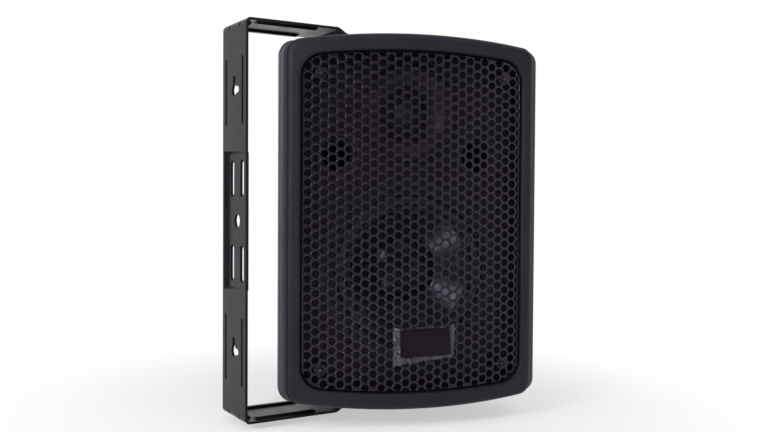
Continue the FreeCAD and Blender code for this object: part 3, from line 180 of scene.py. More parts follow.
def weave(name, colour, dark, pitch, rough):
    """Woven cloth with threads crossing at a pitch in metres."""
    n = Nodes(name)
    threads = n.add("ShaderNodeMath", operation="MULTIPLY")
    for k, axis in enumerate(("Z", "DIAGONAL")):
        n.link(n.bands(axis, pitch, 0.4), threads.inputs[k])
    threads = threads.outputs[0]
    n.feed(n.ramp(threads, [(0.1, dark), (0.7, colour)]), "Base Color")
    n.feed(n.spread(threads, rough + 0.1, rough - 0.05), "Roughness")
    n.bump(threads, 0.5, 0.0001)
    n.fix(Specular_IOR_Level=0.3)
    return n.material


def wound(name, colour, dark, pitch):
    """Fine enamelled wire laid side by side."""
    n = Nodes(name)
    wires = n.bands("X", pitch, 0.3)
    n.feed(n.ramp(wires, [(0.15, dark), (0.6, colour)]), "Base Color")
    n.feed(n.spread(wires, 0.5, 0.28), "Roughness")
    n.bump(wires, 0.6, 0.0001)
    n.fix(Metallic=0.6)
    return n.material


VIOLET = (0.84, 0.81, 1.0)
paint = finish("bracket_powder", (0.0074, 0.0076, 0.0096), 0.23, grain=1500, depth=0.00003, strength=0.25,
               specular=0.1, vary=0.1, dust=(0.0102, 0.0104, 0.0126), tint=(0.8, 0.88, 1.0))
# Behind the bezel the moulding turns darker and more violet: painted shade on the baffle in the recess behind
# the grille.
plastic = finish("cabinet_moulding", (0.0118, 0.0108, 0.0152), 0.5, grain=1700, depth=0.00007, strength=0.5,
                 specular=0.22, dust=(0.0155, 0.0145, 0.0196), tint=VIOLET,
                 recess_shade=((0.0112, 0.0062, 0.0142), BEHIND_BEZEL))
shell = finish("shell_moulding", (0.038, 0.037, 0.042), 0.44, grain=1700, depth=0.00005, strength=0.4,
               specular=0.45, vary=0.1, patch=60.0, tint=VIOLET)
grille_black = finish("grille_lacquer", (0.0065, 0.0045, 0.0095), 0.28, grain=1200, strength=0.15,
                      specular=0.36, tint=(0.86, 0.72, 1.0))
grille_edge = finish("grille_edge", (0.0055, 0.0037, 0.0082), 0.17, grain=1200, strength=0.1, specular=0.46,
                     tint=(0.9, 0.8, 1.0))
zinc = finish("zinc", (0.55, 0.55, 0.53), 0.32, metal=1.0, grain=600, vary=0.1, depth=0.00002)
black_steel = finish("black_oxide", (0.02, 0.02, 0.021), 0.38, metal=0.6, grain=1000)
worn = finish("worn_steel", (0.22, 0.22, 0.24), 0.3, metal=1.0, grain=700, vary=0.3, depth=0.00004)
brass = finish("turned_brass", (0.62, 0.43, 0.18), 0.3, metal=1.0, grain=500, vary=0.08)
rubber = finish("rubber_black", (0.009, 0.0075, 0.0115), 0.7, grain=700, depth=0.00008, specular=0.3,
                tint=VIOLET)
badge_black = finish("badge_gloss", (0.006, 0.004, 0.008), 0.2, grain=300, depth=0.00003, strength=0.1,
                     specular=0.14, tint=(0.95, 0.68, 1.0))
basket = finish("basket_paint", (0.009, 0.0073, 0.012), 0.4, grain=900, specular=0.35, tint=VIOLET)
surround = finish("surround_rubber", (0.009, 0.0073, 0.012), 0.48, grain=500, depth=0.00005, tint=VIOLET)
cone = finish("cone_moulding", (0.008, 0.0062, 0.0115), 0.23, grain=450, depth=0.0001, strength=0.9,
              specular=0.43, tint=VIOLET)
cap = finish("dust_cap_gloss", (0.007, 0.0055, 0.0105), 0.2, grain=200, strength=0.1, specular=0.12)
spider = weave("spider_cloth", (0.5, 0.36, 0.17), (0.24, 0.16, 0.07), 0.0008, 0.75)
dome = weave("dome_cloth", (0.017, 0.0125, 0.0225), (0.0075, 0.0056, 0.0102), 0.0006, 0.45)
copper = wound("copper_wire", (0.6, 0.27, 0.12), (0.2, 0.07, 0.03), 0.0005)
motor = finish("motor_zinc", (0.45, 0.45, 0.47), 0.35, metal=1.0, grain=400, vary=0.1)
ferrite = finish("ferrite", (0.055, 0.055, 0.06), 0.62, grain=500, depth=0.0001, vary=0.25)
fibre = finish("tag_fibre", (0.3, 0.16, 0.07), 0.6, grain=500)
panel_black = finish("panel_anodised", (0.016, 0.016, 0.017), 0.4, metal=0.3, grain=500, depth=0.00003,
                     stretch=(1, 1, 0.06))
sink_black = finish("sink_anodised", (0.014, 0.014, 0.015), 0.36, metal=0.4, grain=600, stretch=(1, 1, 0.04))
circuit = finish("solder_mask", (0.02, 0.15, 0.06), 0.35, grain=300, vary=0.25)
chip = finish("chip_moulding", (0.014, 0.014, 0.014), 0.5, grain=1500)
sleeve = finish("capacitor_sleeve", (0.02, 0.03, 0.1), 0.25, grain=200, strength=0.1)
iron = finish("laminations", (0.15, 0.14, 0.13), 0.45, metal=0.7, grain=300, stretch=(14, 14, 0.3))
tape = finish("winding_tape", (0.5, 0.36, 0.05), 0.3, grain=150, strength=0.2)
knob = finish("knob_moulding", (0.013, 0.013, 0.013), 0.35, grain=900)
moulding = finish("socket_moulding", (0.013, 0.013, 0.0135), 0.38, grain=1100)
horn = finish("horn_moulding", (0.0112, 0.007, 0.0138), 0.38, grain=1100, specular=0.32,
              tint=(0.88, 0.74, 1.0))
white_paint = finish("pointer_paint", (0.72, 0.72, 0.7), 0.5, grain=900, vary=0.05)
tube = finish("port_moulding", (0.03, 0.0215, 0.037), 0.5, grain=1100, specular=0.2, tint=VIOLET)
nickel = finish("nickel", (0.66, 0.63, 0.56), 0.24, metal=1.0, grain=500, vary=0.06)
red = finish("lever_red", (0.5, 0.015, 0.012), 0.32, grain=800)
lamp = finish("lamp_green", (0.06, 0.5, 0.08), 0.18, grain=300, strength=0.05)

LOOKS = {
    paint: ["wall_bracket"],
    plastic: ["front_frame"],
    shell: ["rear_shell"],
    zinc: ["pivot_bolts", "bolt_washers"],
    black_steel: ["grille_screws", "cabinet_screws", "woofer_screws", "tweeter_screws", "amp_panel_screws"],
    rubber: ["friction_washers", "cabinet_gasket", "amp_panel_gasket", "woofer_gasket"],
    brass: ["pivot_inserts", "inlet_blades"],
    grille_black: ["front_grille"],
    badge_black: ["badge"],
    basket: ["woofer_basket"],
    surround: ["woofer_surround"],
    cone: ["woofer_cone"],
    cap: ["woofer_dust_cap"],
    copper: ["woofer_voice_coil", "crossover_coils"],
    spider: ["woofer_spider"],
    motor: ["woofer_top_plate", "woofer_back_plate", "tweeter_top_plate", "tweeter_back_plate"],
    ferrite: ["woofer_magnet", "tweeter_magnet"],
    fibre: ["woofer_terminals"],
    moulding: ["terminal_block", "black_lever", "power_switch", "power_rocker", "mains_inlet"],
    horn: ["tweeter_faceplate"],
    tube: ["left_port_tube", "right_port_tube"],
    dome: ["tweeter_dome"],
    panel_black: ["amp_panel"],
    sink_black: ["heat_sink"],
    nickel: ["potentiometers", "input_jacks"],
    knob: ["volume_knob", "bass_knob", "treble_knob"],
    circuit: ["amp_board", "crossover_board"],
    chip: ["amp_chip"],
    sleeve: ["filter_capacitors", "crossover_capacitors"],
    iron: ["transformer_core"],
    tape: ["transformer_winding"],
    red: ["red_lever"],
    lamp: ["power_led"],
}
for look, names in LOOKS.items():
    for name in names:
        mesh = nodes[name].data
        mesh.materials.clear()
        mesh.materials.append(look)


# Mesh pieces

def new_piece(name, bm, look, body, smooth=0.6):
    """Object from a mesh in millimetres about the swivel axis; smooth is the angle of its sharp edges."""
    mesh = bpy.data.meshes.new(name)
    bm.normal_update()
    bm.to_mesh(mesh)
    bm.free()
    mesh.transform(TO_WORLD @ Matrix.Scale(MM, 4))
    mesh.polygons.foreach_set("use_smooth", [True] * len(mesh.polygons))
    mesh.set_sharp_from_angle(angle=smooth)
    mesh.materials.append(look)
    piece = bpy.data.objects.new(name, mesh)
    scene.collection.objects.link(piece)
    if body:
        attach(piece, body)
    return piece


def thicken(bm, places):
    """Give an open sheet an inner face with its points at the given places, and walls at its edges."""
    faces = bm.faces[:]
    border = [tuple(e.verts) for e in bm.edges if e.is_boundary]
    inner, made = {}, {}
    for v in bm.verts[:]:
        place = tuple(places[v])
        if place not in made:
            made[place] = bm.verts.new(place)
        inner[v] = made[place]
    for f in faces:
        own = list(dict.fromkeys(inner[v] for v in reversed(f.verts)))
        if len(own) > 2 and not bm.faces.get(own):
            bm.faces.new(own).material_index = f.material_index
    for a, b in border:
        wall = list(dict.fromkeys((a, b, inner[b], inner[a])))
        bm.faces.new(wall).material_index = a.link_faces[0].material_index
    bmesh.ops.recalc_face_normals(bm, faces=bm.faces)


def bridge(bm, rows):
    """Quads between closed rows of points."""
    for a, b in zip(rows, rows[1:]):
        for k in range(len(a)):
            m = (k + 1) % len(a)
            bm.faces.new((a[k], a[m], b[m], b[k]))


def outline(half_x, half_z, corner, steps=6, arch_steps=36, side_steps=40):
    """Points round a front outline with arched ends, starting at the lower right."""
    x = half_x - corner
    centre = half_z - ARCH
    z = centre + math.sqrt((ARCH - corner) ** 2 - x ** 2)
    touch = math.atan2(x, z - centre)
    points = []

    def corner_arc(sx, sz, start, end):
        for i in range(steps):
            a = start + (end - start) * i / steps
            points.append((sx * (x + corner * math.cos(a)), sz * (z + corner * math.sin(a))))

    def arch(sz, start, end):
        for i in range(arch_steps):
            a = start + (end - start) * i / arch_steps
            points.append((ARCH * math.sin(a), sz * (centre + ARCH * math.cos(a))))

    def side(sx, start, end):
        for i in range(side_steps):
            points.append((sx * half_x, start + (end - start) * i / side_steps))

    lean = math.pi / 2 - touch
    side(1, -z, z)
    corner_arc(1, 1, 0, lean)
    arch(1, touch, -touch)
    corner_arc(-1, 1, lean, 0)
    side(-1, z, -z)
    corner_arc(-1, -1, 0, lean)
    arch(-1, -touch, touch)
    corner_arc(1, -1, lean, 0)
    return points


def on_bow(x, z, lift=0.0):
    """Place on the bowed front, or that far in front of it."""
    lean = math.asin(x / BOW)
    radius = BOW + lift
    return Vector((radius * math.sin(lean), BOW_AXIS - radius * math.cos(lean), z))


def inside(x, z, half_x, half_z, corner):
    """Whether a point lies in a front outline with arched ends."""
    x, z = abs(x), abs(z)
    corner_x = half_x - corner
    centre = half_z - ARCH
    corner_z = centre + math.sqrt((ARCH - corner) ** 2 - corner_x ** 2)
    if x > half_x or math.hypot(x, z - centre) > ARCH:
        return False
    if x > corner_x and z > corner_z:
        return math.hypot(x - corner_x, z - corner_z) < corner
    return True


# Perforated grille: a bowed sheet with staggered round holes and a turned-back rim
HOLE = 2.75  # radius
ROLL = 0.45  # rounding of the holes' edges
PITCH = 7.0
LATTICE = (16, 22)  # columns and rows on each side of the middle
LATTICE_X, LATTICE_Z = -1.0, 0.75
SHEET = 1.2
TURN = 0.3  # rounding of the sheet's edge
RIM_FOOT = -68.0
SHEET_HALF = (83.5, 124.75, 16.0)  # half width, half height and corner
CUT_REACH = 0.9  # how far outside the sheet a hole's centre may lie
WELL_INSIDE = (82.0, 123.2, 15.0)  # as SHEET_HALF, for what needs no test against the edge
GRID = 8  # cell in which neighbouring holes are looked up
HOLE_SIDES = 12
IN_HOLE = 0.96  # share of a hole's radius within which a face's middle counts as inside it
SPAN_END = 0.9999  # from here a point belongs to the next span of the edge
SCREW_HOLE = 1.9
SCREW_CLEAR = 3.0
SCREWS = [(sx * 70.0, sz * 108.0) for sx in (-1, 1) for sz in (-1, 1)]


def hole_places():
    """Centres and radii of the holes, the ones that the sheet's edge cuts through included."""
    column = PITCH * math.sqrt(3) / 2
    reach = [size + CUT_REACH for size in SHEET_HALF]
    places = [(x, z, SCREW_HOLE) for x, z in SCREWS]
    for i in range(-LATTICE[0], LATTICE[0] + 1):
        for j in range(-LATTICE[1], LATTICE[1] + 1):
            x = BOW * math.sin((i * column + LATTICE_X) / BOW)
            z = (j + 0.5 * ((i + 1) % 2)) * PITCH + LATTICE_Z
            near_screw = min(math.hypot(x - sx, z - sz) for sx, sz in SCREWS) < SCREW_CLEAR
            if inside(x, z, *reach) and not near_screw:
                places.append((x, z, HOLE + ROLL))
    return places


def sheet_outline(inset):
    """Outline of the sheet, drawn in by some millimetres."""
    return outline(*(size - inset for size in SHEET_HALF))


def pulled_in(x, z, ring):
    """Point of the sheet, moved onto the ring where it lies outside it."""
    if inside(x, z, *(size - SHEET for size in SHEET_HALF)):
        return x, z
    spot = Vector((x, z))
    best = None
    for a, b in zip(ring, ring[1:] + ring[:1]):
        a, b = Vector(a), Vector(b)
        t = (spot - a).dot(b - a) / (b - a).length_squared
        near = a + (b - a) * min(1.0, max(0.0, t))
        if best is None or (near - spot).length < (best - spot).length:
            best = near
    return tuple(best)


def cut_sheet(edge, holes):
    """Flat points, faces and, for each span of the edge, the points along it."""
    points = [Vector(p) for p in edge]
    rings = [list(range(len(edge)))]
    for x, z, radius in holes:
        start = len(points)
        for k in range(HOLE_SIDES):
            a = 2 * math.pi * (k + 0.5) / HOLE_SIDES
            points.append(Vector((x + radius * math.cos(a), z + radius * math.sin(a))))
        rings.append(list(range(start, start + HOLE_SIDES)))
    edges = [(r[k], r[(k + 1) % len(r)]) for r in rings for k in range(len(r))]
    flat, parts, faces, _, sources, _ = geometry.delaunay_2d_cdt(points, edges, [], 0, 1e-5)
    spans = [set() for _ in edge]
    for part, source in zip(parts, sources):
        for k in source:
            if k < len(edge):
                spans[k].update(part)
    return flat, faces, spans


def build_grille():
    """Mesh of the whole sheet, closed, with the holes' edges in the second material."""
    holes = hole_places()
    edge = sheet_outline(TURN)
    flat, faces, spans = cut_sheet(edge, holes)
    grid = {}
    for hole in holes:
        grid.setdefault((int(hole[0] // GRID), int(hole[1] // GRID)), []).append(hole)

    def nearest_hole(x, z):
        gx, gz = int(x // GRID), int(z // GRID)
        cells = [(gx + dx, gz + dz) for dx in (-1, 0, 1) for dz in (-1, 0, 1)]
        near = [h for cell in cells for h in grid.get(cell, [])]
        return min(near, key=lambda h: math.hypot(x - h[0], z - h[1]) - h[2], default=None)

    def kept(x, z):
        hole = nearest_hole(x, z)
        if hole and math.hypot(x - hole[0], z - hole[1]) < hole[2] * IN_HOLE:
            return False
        if inside(x, z, *WELL_INSIDE):
            return True
        ends = zip(edge, edge[1:] + edge[:1])
        return all((b[0] - a[0]) * (z - a[1]) - (b[1] - a[1]) * (x - a[0]) > 0 for a, b in ends)

    bm = bmesh.new()
    verts = [bm.verts.new(on_bow(p.x, p.y)) for p in flat]
    for face in faces:
        middle = sum((flat[i] for i in face), Vector((0, 0))) / len(face)
        if kept(middle.x, middle.y):
            bm.faces.new([verts[i] for i in face])
    chain = []
    for k, span in enumerate(spans):
        a, b = Vector(edge[k]), Vector(edge[(k + 1) % len(edge)])
        along = sorted(((flat[i] - a).dot(b - a) / (b - a).length_squared, i) for i in span)
        chain += [(k, t, i) for t, i in along if t < SPAN_END]
    on_edge = {i for _, _, i in chain}
    inner_edge = sheet_outline(SHEET)
    places = {v: on_bow(*pulled_in(p.x, p.y, inner_edge), -SHEET) for v, p in zip(verts, flat)}
    roll_holes(bm, flat, verts, on_edge, nearest_hole, inner_edge, places)
    turn_rim(bm, [verts[i] for _, _, i in chain], [(k, t) for k, t, _ in chain], inner_edge, places)
    bmesh.ops.delete(bm, geom=[v for v in bm.verts if not v.link_faces], context="VERTS")
    bmesh.ops.recalc_face_normals(bm, faces=bm.faces)
    front = min(bm.faces, key=lambda f: f.calc_center_median().y)
    front.normal_update()
    if front.normal.y > 0:
        bmesh.ops.reverse_faces(bm, faces=bm.faces)
    thicken(bm, places)
    bmesh.ops.dissolve_degenerate(bm, dist=0.002, edges=bm.edges)
    return bm


def roll_holes(bm, flat, verts, on_edge, nearest_hole, inner_edge, places):
    """Round the punched edge of each hole over."""
    number = {v: i for i, v in enumerate(verts)}
    rims = []
    for e in bm.edges:
        a, b = (number[v] for v in e.verts)
        if len(e.link_faces) == 1 and not (a in on_edge and b in on_edge):
            rims.append((a, b))
    rolled = {}
    for i in {i for rim in rims for i in rim}:
        x, z = flat[i]
        hx, hz, radius = nearest_hole(x, z)
        row = [verts[i]]
        for turn in (45, 90):
            share = (radius - ROLL * math.sin(math.radians(turn))) / radius
            drop = ROLL * (1 - math.cos(math.radians(turn)))
            rx, rz = hx + (x - hx) * share, hz + (z - hz) * share
            row.append(bm.verts.new(on_bow(rx, rz, -drop)))
            places[row[-1]] = on_bow(*pulled_in(rx, rz, inner_edge), -SHEET)
        rolled[i] = row
    for a, b in rims:
        for k in range(2):
            face = bm.faces.new((rolled[a][k], rolled[b][k], rolled[b][k + 1], rolled[a][k + 1]))
            face.material_index = 1


def turn_rim(bm, first, spots, inner_edge, places):
    """Sheet's edge bent back to the frame, with one inner corner and one inner foot for each spot."""
    rows = [first]
    for turn in (30, 60, 90):
        inset = TURN * (1 - math.sin(math.radians(turn)))
        drop = TURN * (1 - math.cos(math.radians(turn)))
        ring = sheet_outline(inset)
        row = []
        for k, t in spots:
            a, b = Vector(ring[k]), Vector(ring[(k + 1) % len(ring)])
            x, z = a + (b - a) * t
            row.append(bm.verts.new((x, on_bow(x, z).y + drop, z)))
        rows.append(row)
    rows.append([bm.verts.new((v.co.x, RIM_FOOT, v.co.z)) for v in rows[-1]])
    bridge(bm, rows)
    for n, (k, t) in enumerate(spots):
        a, b = Vector(inner_edge[k]), Vector(inner_edge[(k + 1) % len(inner_edge)])
        x, z = a + (b - a) * t
        for row in rows[:-1]:
            places[row[n]] = on_bow(x, z, -SHEET)
        places[rows[-1][n]] = (x, RIM_FOOT, z)


grille = new_piece("perforated_grille", build_grille(), grille_black, "cabinet", 0.9)
grille.data.materials.append(grille_edge)
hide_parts("front_grille")


# Screws with rounded heads and a cross recess
def islands(node):
    """Vertices of each loose body of a CAD node, in millimetres about the swivel axis."""
    back = Matrix.Scale(1000, 4) @ TO_WORLD.inverted() @ nodes[node].matrix_world
    bm = bmesh.new()
    bm.from_mesh(nodes[node].data)
    bmesh.ops.remove_doubles(bm, verts=bm.verts, dist=1e-6)
    left = set(bm.verts)
    groups = []
    while left:
        group, front = set(), [left.pop()]
        while front:
            v = front.pop()
            group.add(v)
            for e in v.link_edges:
                other = e.other_vert(v)
                if other in left:
                    left.discard(other)
                    front.append(other)
        groups.append([back @ v.co for v in group])
    bm.free()
    return groups


SCREW_SIDES = 20
SHANK_TIP = 0.2  # share of the shank's radius
HEAD_CROWN = ((1.0, 0.4), (0.95, 0.66), (0.82, 0.87), (0.64, 1.0))  # shares of the head's radius and height
HEAD_TOP = HEAD_CROWN[-1][0]
CROSS_ARM, CROSS_HALF = 0.55, 0.15  # shares of the head's radius
CROSS_TAPER, CROSS_FLOOR = 0.75, 0.3  # width and height of the recess's floor, as shares
FIRST_TURN, NEXT_TURN = 0.35, 0.9  # so that no two crosses stand alike


def cross_head(bm, seat, head, height, shank, length):
    """Pan-head screw: seat is a matrix whose Z axis points out of the head and whose origin is under it."""
    turns = [2 * math.pi * k / SCREW_SIDES for k in range(SCREW_SIDES)]

    def ring(radius, rise):
        spots = [Vector((radius * math.cos(a), radius * math.sin(a), rise)) for a in turns]
        return [bm.verts.new(seat @ spot) for spot in spots]

    rows = [ring(SHANK_TIP * shank, -length), ring(shank, -length + shank), ring(shank, 0), ring(head, 0)]
    rows += [ring(head * share, height * rise) for share, rise in HEAD_CROWN]
    bridge(bm, rows)
    bm.faces.new(rows[0])
    arm, half = CROSS_ARM * head, CROSS_HALF * head
    cross = [(arm, -half), (arm, half), (half, half), (half, arm), (-half, arm), (-half, half),
             (-arm, half), (-arm, -half), (-half, -half), (-half, -arm), (half, -arm), (half, -half)]
    lip = [bm.verts.new(seat @ Vector((x, y, height))) for x, y in cross]
    floor = [bm.verts.new(seat @ Vector((x * CROSS_TAPER, y * CROSS_TAPER, height * CROSS_FLOOR)))
             for x, y in cross]
    flat = [Vector((HEAD_TOP * head * math.cos(a), HEAD_TOP * head * math.sin(a))) for a in turns]
    flat += [Vector(p) for p in cross]
    loops = ((0, SCREW_SIDES), (SCREW_SIDES, len(cross)))
    edges = [(o + k, o + (k + 1) % n) for o, n in loops for k in range(n)]
    _, _, faces, sources, _, _ = geometry.delaunay_2d_cdt(flat, edges, [], 0, 1e-6)
    corners = rows[-1] + lip
    for face in faces:
        own = [sources[i][0] for i in face]
        x, y = sum((flat[i] for i in own), Vector((0, 0))) / 3
        in_cross = (abs(x) < arm and abs(y) < half) or (abs(x) < half and abs(y) < arm)
        if not in_cross:
            bm.faces.new([corners[i] for i in own])
    for k in range(len(cross)):
        m = (k + 1) % len(cross)
        bm.faces.new((lip[k], lip[m], floor[m], floor[k])).material_index = 1
    bm.faces.new(floor).material_index = 1


def screw_set(node, facing, head_height, shank, look, recess, head_share=1.0):
    """Screws in place of a node's; facing is -1 for heads at the front and 1 for heads at the back."""
    bm = bmesh.new()
    for count, points in enumerate(islands(node)):
        middle = sum(points, Vector()) / len(points)
        out = Vector((0, facing, 0))
        if node == "grille_screws":
            out = Vector((middle.x, middle.y - BOW_AXIS, 0)).normalized()
        along = [(p - middle).dot(out) for p in points]
        head = max(((p - middle) - out * (p - middle).dot(out)).length for p in points)
        across = Vector((0, 0, 1)).cross(out).normalized()
        seat = Matrix((across, out.cross(across), out)).transposed().to_4x4()
        seat.translation = middle + out * (max(along) - head_height)
        seat = seat @ Matrix.Rotation(FIRST_TURN + NEXT_TURN * count, 4, "Z")
        length = max(along) - min(along) - head_height
        cross_head(bm, seat, head * head_share, head_height, shank, length)
    bmesh.ops.recalc_face_normals(bm, faces=bm.faces)
    piece = new_piece(f"{node}_cross", bm, look, "cabinet", 0.5)
    piece.data.materials.append(recess)
    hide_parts(node)


FRONT, BACK = -1, 1
screw_set("grille_screws", FRONT, 2.0, 1.35, grille_black, worn, head_share=0.75)
screw_set("amp_panel_screws", BACK, 1.6, 1.5, black_steel, worn)
screw_set("woofer_screws", FRONT, 2.0, 1.75, black_steel, black_steel)
screw_set("tweeter_screws", FRONT, 1.6, 1.5, black_steel, black_steel)
screw_set("cabinet_screws", FRONT, 2.0, 1.75, black_steel, black_steel)


# White paint in the pointer groove of each knob
POINTER_HALF = 0.46
POINTER_FROM, POINTER_TO = 0.3, 0.78  # shares of the knob's radius
POINTER_ARC = 8  # steps round each end
POINTER_ROWS = ((0.0, 0.78), (0.0, 0.2), (0.12, 0.1))  # inset and depth below the knob's face


def pointer_paint(node, body):
    """Slim slab with round ends that lies in the groove."""
    points = islands(node)[0]
    low, high = (Vector(map(side, zip(*points))) for side in (min, max))
    middle = (low + high) / 2
    radius = (high.x - low.x) / 2
    start = middle.z + POINTER_FROM * radius + 1.2 * POINTER_HALF
    end = middle.z + POINTER_TO * radius - POINTER_HALF
    bm = bmesh.new()
    rings = []
    for inset, sink in POINTER_ROWS:
        half = POINTER_HALF - inset
        ring = []
        for tip, turn in ((end, 0.0), (start, math.pi)):
            for k in range(POINTER_ARC + 1):
                a = turn + math.pi * k / POINTER_ARC
                place = (middle.x + half * math.cos(a), high.y - sink, tip + half * math.sin(a))
                ring.append(bm.verts.new(place))
        rings.append(ring)
    bridge(bm, rings)
    bm.faces.new(rings[0])
    bm.faces.new(rings[-1])
    bmesh.ops.recalc_face_normals(bm, faces=bm.faces)
    new_piece(f"{node}_pointer", bm, white_paint, body)


for control in ("volume", "bass", "treble"):
    pointer_paint(f"{control}_knob", control)


# Surround and spider: rings of sectors that stretch between the frame and the cone
WOOFER_Z = -36.7
SURROUND_FRONT, SURROUND_BACK = -60.3, -59.5
SURROUND_OUT, SURROUND_IN = 61.8, 46.0
HALF_ROLL, ROLL_OVER, ROLL_UNDER = 52.75, 4.25, 3.45  # radius of the roll's middle, and of its two faces
SPIDER_Y, SPIDER_SHEET = -24.0, 0.6
SPIDER_IN, SPIDER_WAVES, SPIDER_OUT = 13.2, 16.8, 35.7  # inner radius, width of the waves, outer radius
WAVE_COUNT, WAVE_HEIGHT, WAVE_STEPS = 4, 1.5, 48


def arc_points(y, radius, start, end, steps=12):
    """Points (radius, depth) on an arc about the roll's middle."""
    angles = [math.radians(start + (end - start) * i / steps) for i in range(steps + 1)]
    return [(HALF_ROLL + radius * math.cos(a), y - radius * math.sin(a)) for a in angles]


def surround_profile():
    """Closed (radius, depth) loop of the half-roll edge."""
    over = [(SURROUND_OUT, SURROUND_BACK), (SURROUND_OUT, SURROUND_FRONT)]
    under = [(SURROUND_IN, SURROUND_FRONT), (SURROUND_IN, SURROUND_BACK)]
    over += arc_points(SURROUND_FRONT, ROLL_OVER, 0, 180)
    under += arc_points(SURROUND_BACK, ROLL_UNDER, 180, 0)
    return over + under


def spider_profile():
    """Closed (radius, depth) loop of the corrugated disc."""
    front = []
    for i in range(WAVE_STEPS + 1):
        r = SPIDER_IN + SPIDER_WAVES * i / WAVE_STEPS
        wave = WAVE_HEIGHT * math.sin(math.pi * 2 * WAVE_COUNT * i / WAVE_STEPS)
        front.append((r, SPIDER_Y - wave))
    front.append((SPIDER_OUT, SPIDER_Y))
    return front + [(r, y + SPIDER_SHEET) for r, y in reversed(front)]


def round_woofer(r, y, a):
    """Place at a radius, depth and angle about the woofer's axis."""
    return Vector((r * math.cos(a), y, WOOFER_Z + r * math.sin(a)))


def sector(profile, start, end, steps):
    """Closed slice of a body of revolution about the woofer's axis, from angle start to end."""
    bm = bmesh.new()
    loops = []
    for i in range(steps + 1):
        a = start + (end - start) * i / steps
        loops.append([bm.verts.new(round_woofer(r, y, a)) for r, y in profile])
    bridge(bm, loops)
    bm.faces.new(loops[0])
    bm.faces.new(loops[-1])
    bmesh.ops.recalc_face_normals(bm, faces=bm.faces)
    return bm


def flexing_ring(node, profile, count, steps, look):
    """Ring of sectors between the outer radius and the inner one, each a piece of its own on no body, baked
    in place.
    """
    for k in range(count):
        start = 2 * math.pi * k / count
        end = 2 * math.pi * (k + 1) / count
        piece = new_piece(f"{node}_{k:02d}", sector(profile, start, end, steps), look, None)
        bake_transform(piece)
        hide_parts(node)


flexing_ring("woofer_surround", surround_profile(), count=16, steps=6,
             look=surround)
flexing_ring("woofer_spider", spider_profile(), count=12, steps=5,
             look=spider)


# Clear film left on the badge: smooth over the plate, loose round it, crumpled along its left edge
BADGE = (7.5, -89.0)
BADGE_TILT = math.radians(2.0)
PLATE_HALF = (19.0, 10.0)
FILM = 0.08  # thickness
MOST_SHELL = 1.4  # how much further the inner face may lie at a sharp fold
FILM_GRID = (110, 64)
FILM_CORNERS = ((-24.1, -16.7), (21.8, -10.8), (23.4, 12.7), (-24.1, 11.2))
CRUMPLED = -18.0  # left of it the film is crumpled
ON_PLATE, OFF_PLATE = 1.15, 0.4  # height above the grille
STEP_DOWN, LOOSEN, CRUMPLE = 3.5, 1.5, 2.0  # distances over which it sinks, loosens and crumples
FOLDS = ((1.0, 0.5, 0.28, 7.0), (0.5, 1.3, 0.8, 1.0))  # height, scale across and up, seed
TIGHT_FOLDS, LOOSE_FOLDS = 0.05, 0.45
CRUMPLES = ((1.3, 0.7, 0.8, 5.0), (0.6, 1.5, 1.7, 2.0))  # as FOLDS
CREASE, CREASE_SLOPE, CREASE_HALF, CREASE_RISE = -14.5, 0.3, 0.5, 0.12
RAG, RAG_SCALE, RAG_SEED = 0.7, 0.4, 3.0  # unevenness of the outline
ON_PLATE_EDGE = 0.3


def film_place(i, j):
    """Point of the loose film at fractions i across and j up, from the badge's middle."""
    (ax, az), (bx, bz), (cx, cz), (dx, dz) = FILM_CORNERS
    x = (ax * (1 - i) + bx * i) * (1 - j) + (dx * (1 - i) + cx * i) * j
    z = (az * (1 - i) + bz * i) * (1 - j) + (dz * (1 - i) + cz * i) * j
    return x, z


def off_plate(x, z):
    """How far a point lies outside the badge's plate."""
    u = x * math.cos(BADGE_TILT) + z * math.sin(BADGE_TILT)
    v = -x * math.sin(BADGE_TILT) + z * math.cos(BADGE_TILT)
    return max(abs(u) - PLATE_HALF[0], abs(v) - PLATE_HALF[1], 0.0)


def folds(x, z, layers):
    """Height of layers of noise, each folded up about zero."""
    return sum(tall * abs(noise.noise((x * wide, z * high, seed))) for tall, wide, high, seed in layers)


def film_lift(x, z):
    """Height of the film above the grille."""
    out = off_plate(x, z)
    lift = ON_PLATE - (ON_PLATE - OFF_PLATE) * min(1.0, out / STEP_DOWN)
    lift += (TIGHT_FOLDS + LOOSE_FOLDS * min(1.0, out / LOOSEN)) * folds(x, z, FOLDS)
    if x < CRUMPLED:
        lift += min(1.0, (CRUMPLED - x) / CRUMPLE) * folds(x, z, CRUMPLES)
    crease = max(0.0, 1.0 - abs(x - CREASE - CREASE_SLOPE * z) / CREASE_HALF)
    return lift + CREASE_RISE * crease


def build_film():
    """Mesh of the film, with its flat, loose and crumpled parts in three materials."""
    bm = bmesh.new()
    wide, high = FILM_GRID
    rows = []
    for j in range(high + 1):
        row = []
        for i in range(wide + 1):
            x, z = film_place(i / wide, j / high)
            rag = RAG * noise.noise((x * RAG_SCALE, z * RAG_SCALE, RAG_SEED))
            row.append(bm.verts.new(on_bow(BADGE[0] + x + rag, BADGE[1] + z + rag, film_lift(x, z))))
        rows.append(row)
    for j in range(high):
        for i in range(wide):
            face = bm.faces.new((rows[j][i], rows[j][i + 1], rows[j + 1][i + 1], rows[j + 1][i]))
            x, z = film_place((i + 0.5) / wide, (j + 0.5) / high)
            face.material_index = 0 if off_plate(x, z) < ON_PLATE_EDGE else 1 if x > CRUMPLED else 2
    bmesh.ops.recalc_face_normals(bm, faces=bm.faces)
    bm.normal_update()
    thicken(bm, {v: v.co - v.normal * FILM * min(v.calc_shell_factor(), MOST_SHELL) for v in bm.verts})
    return bm


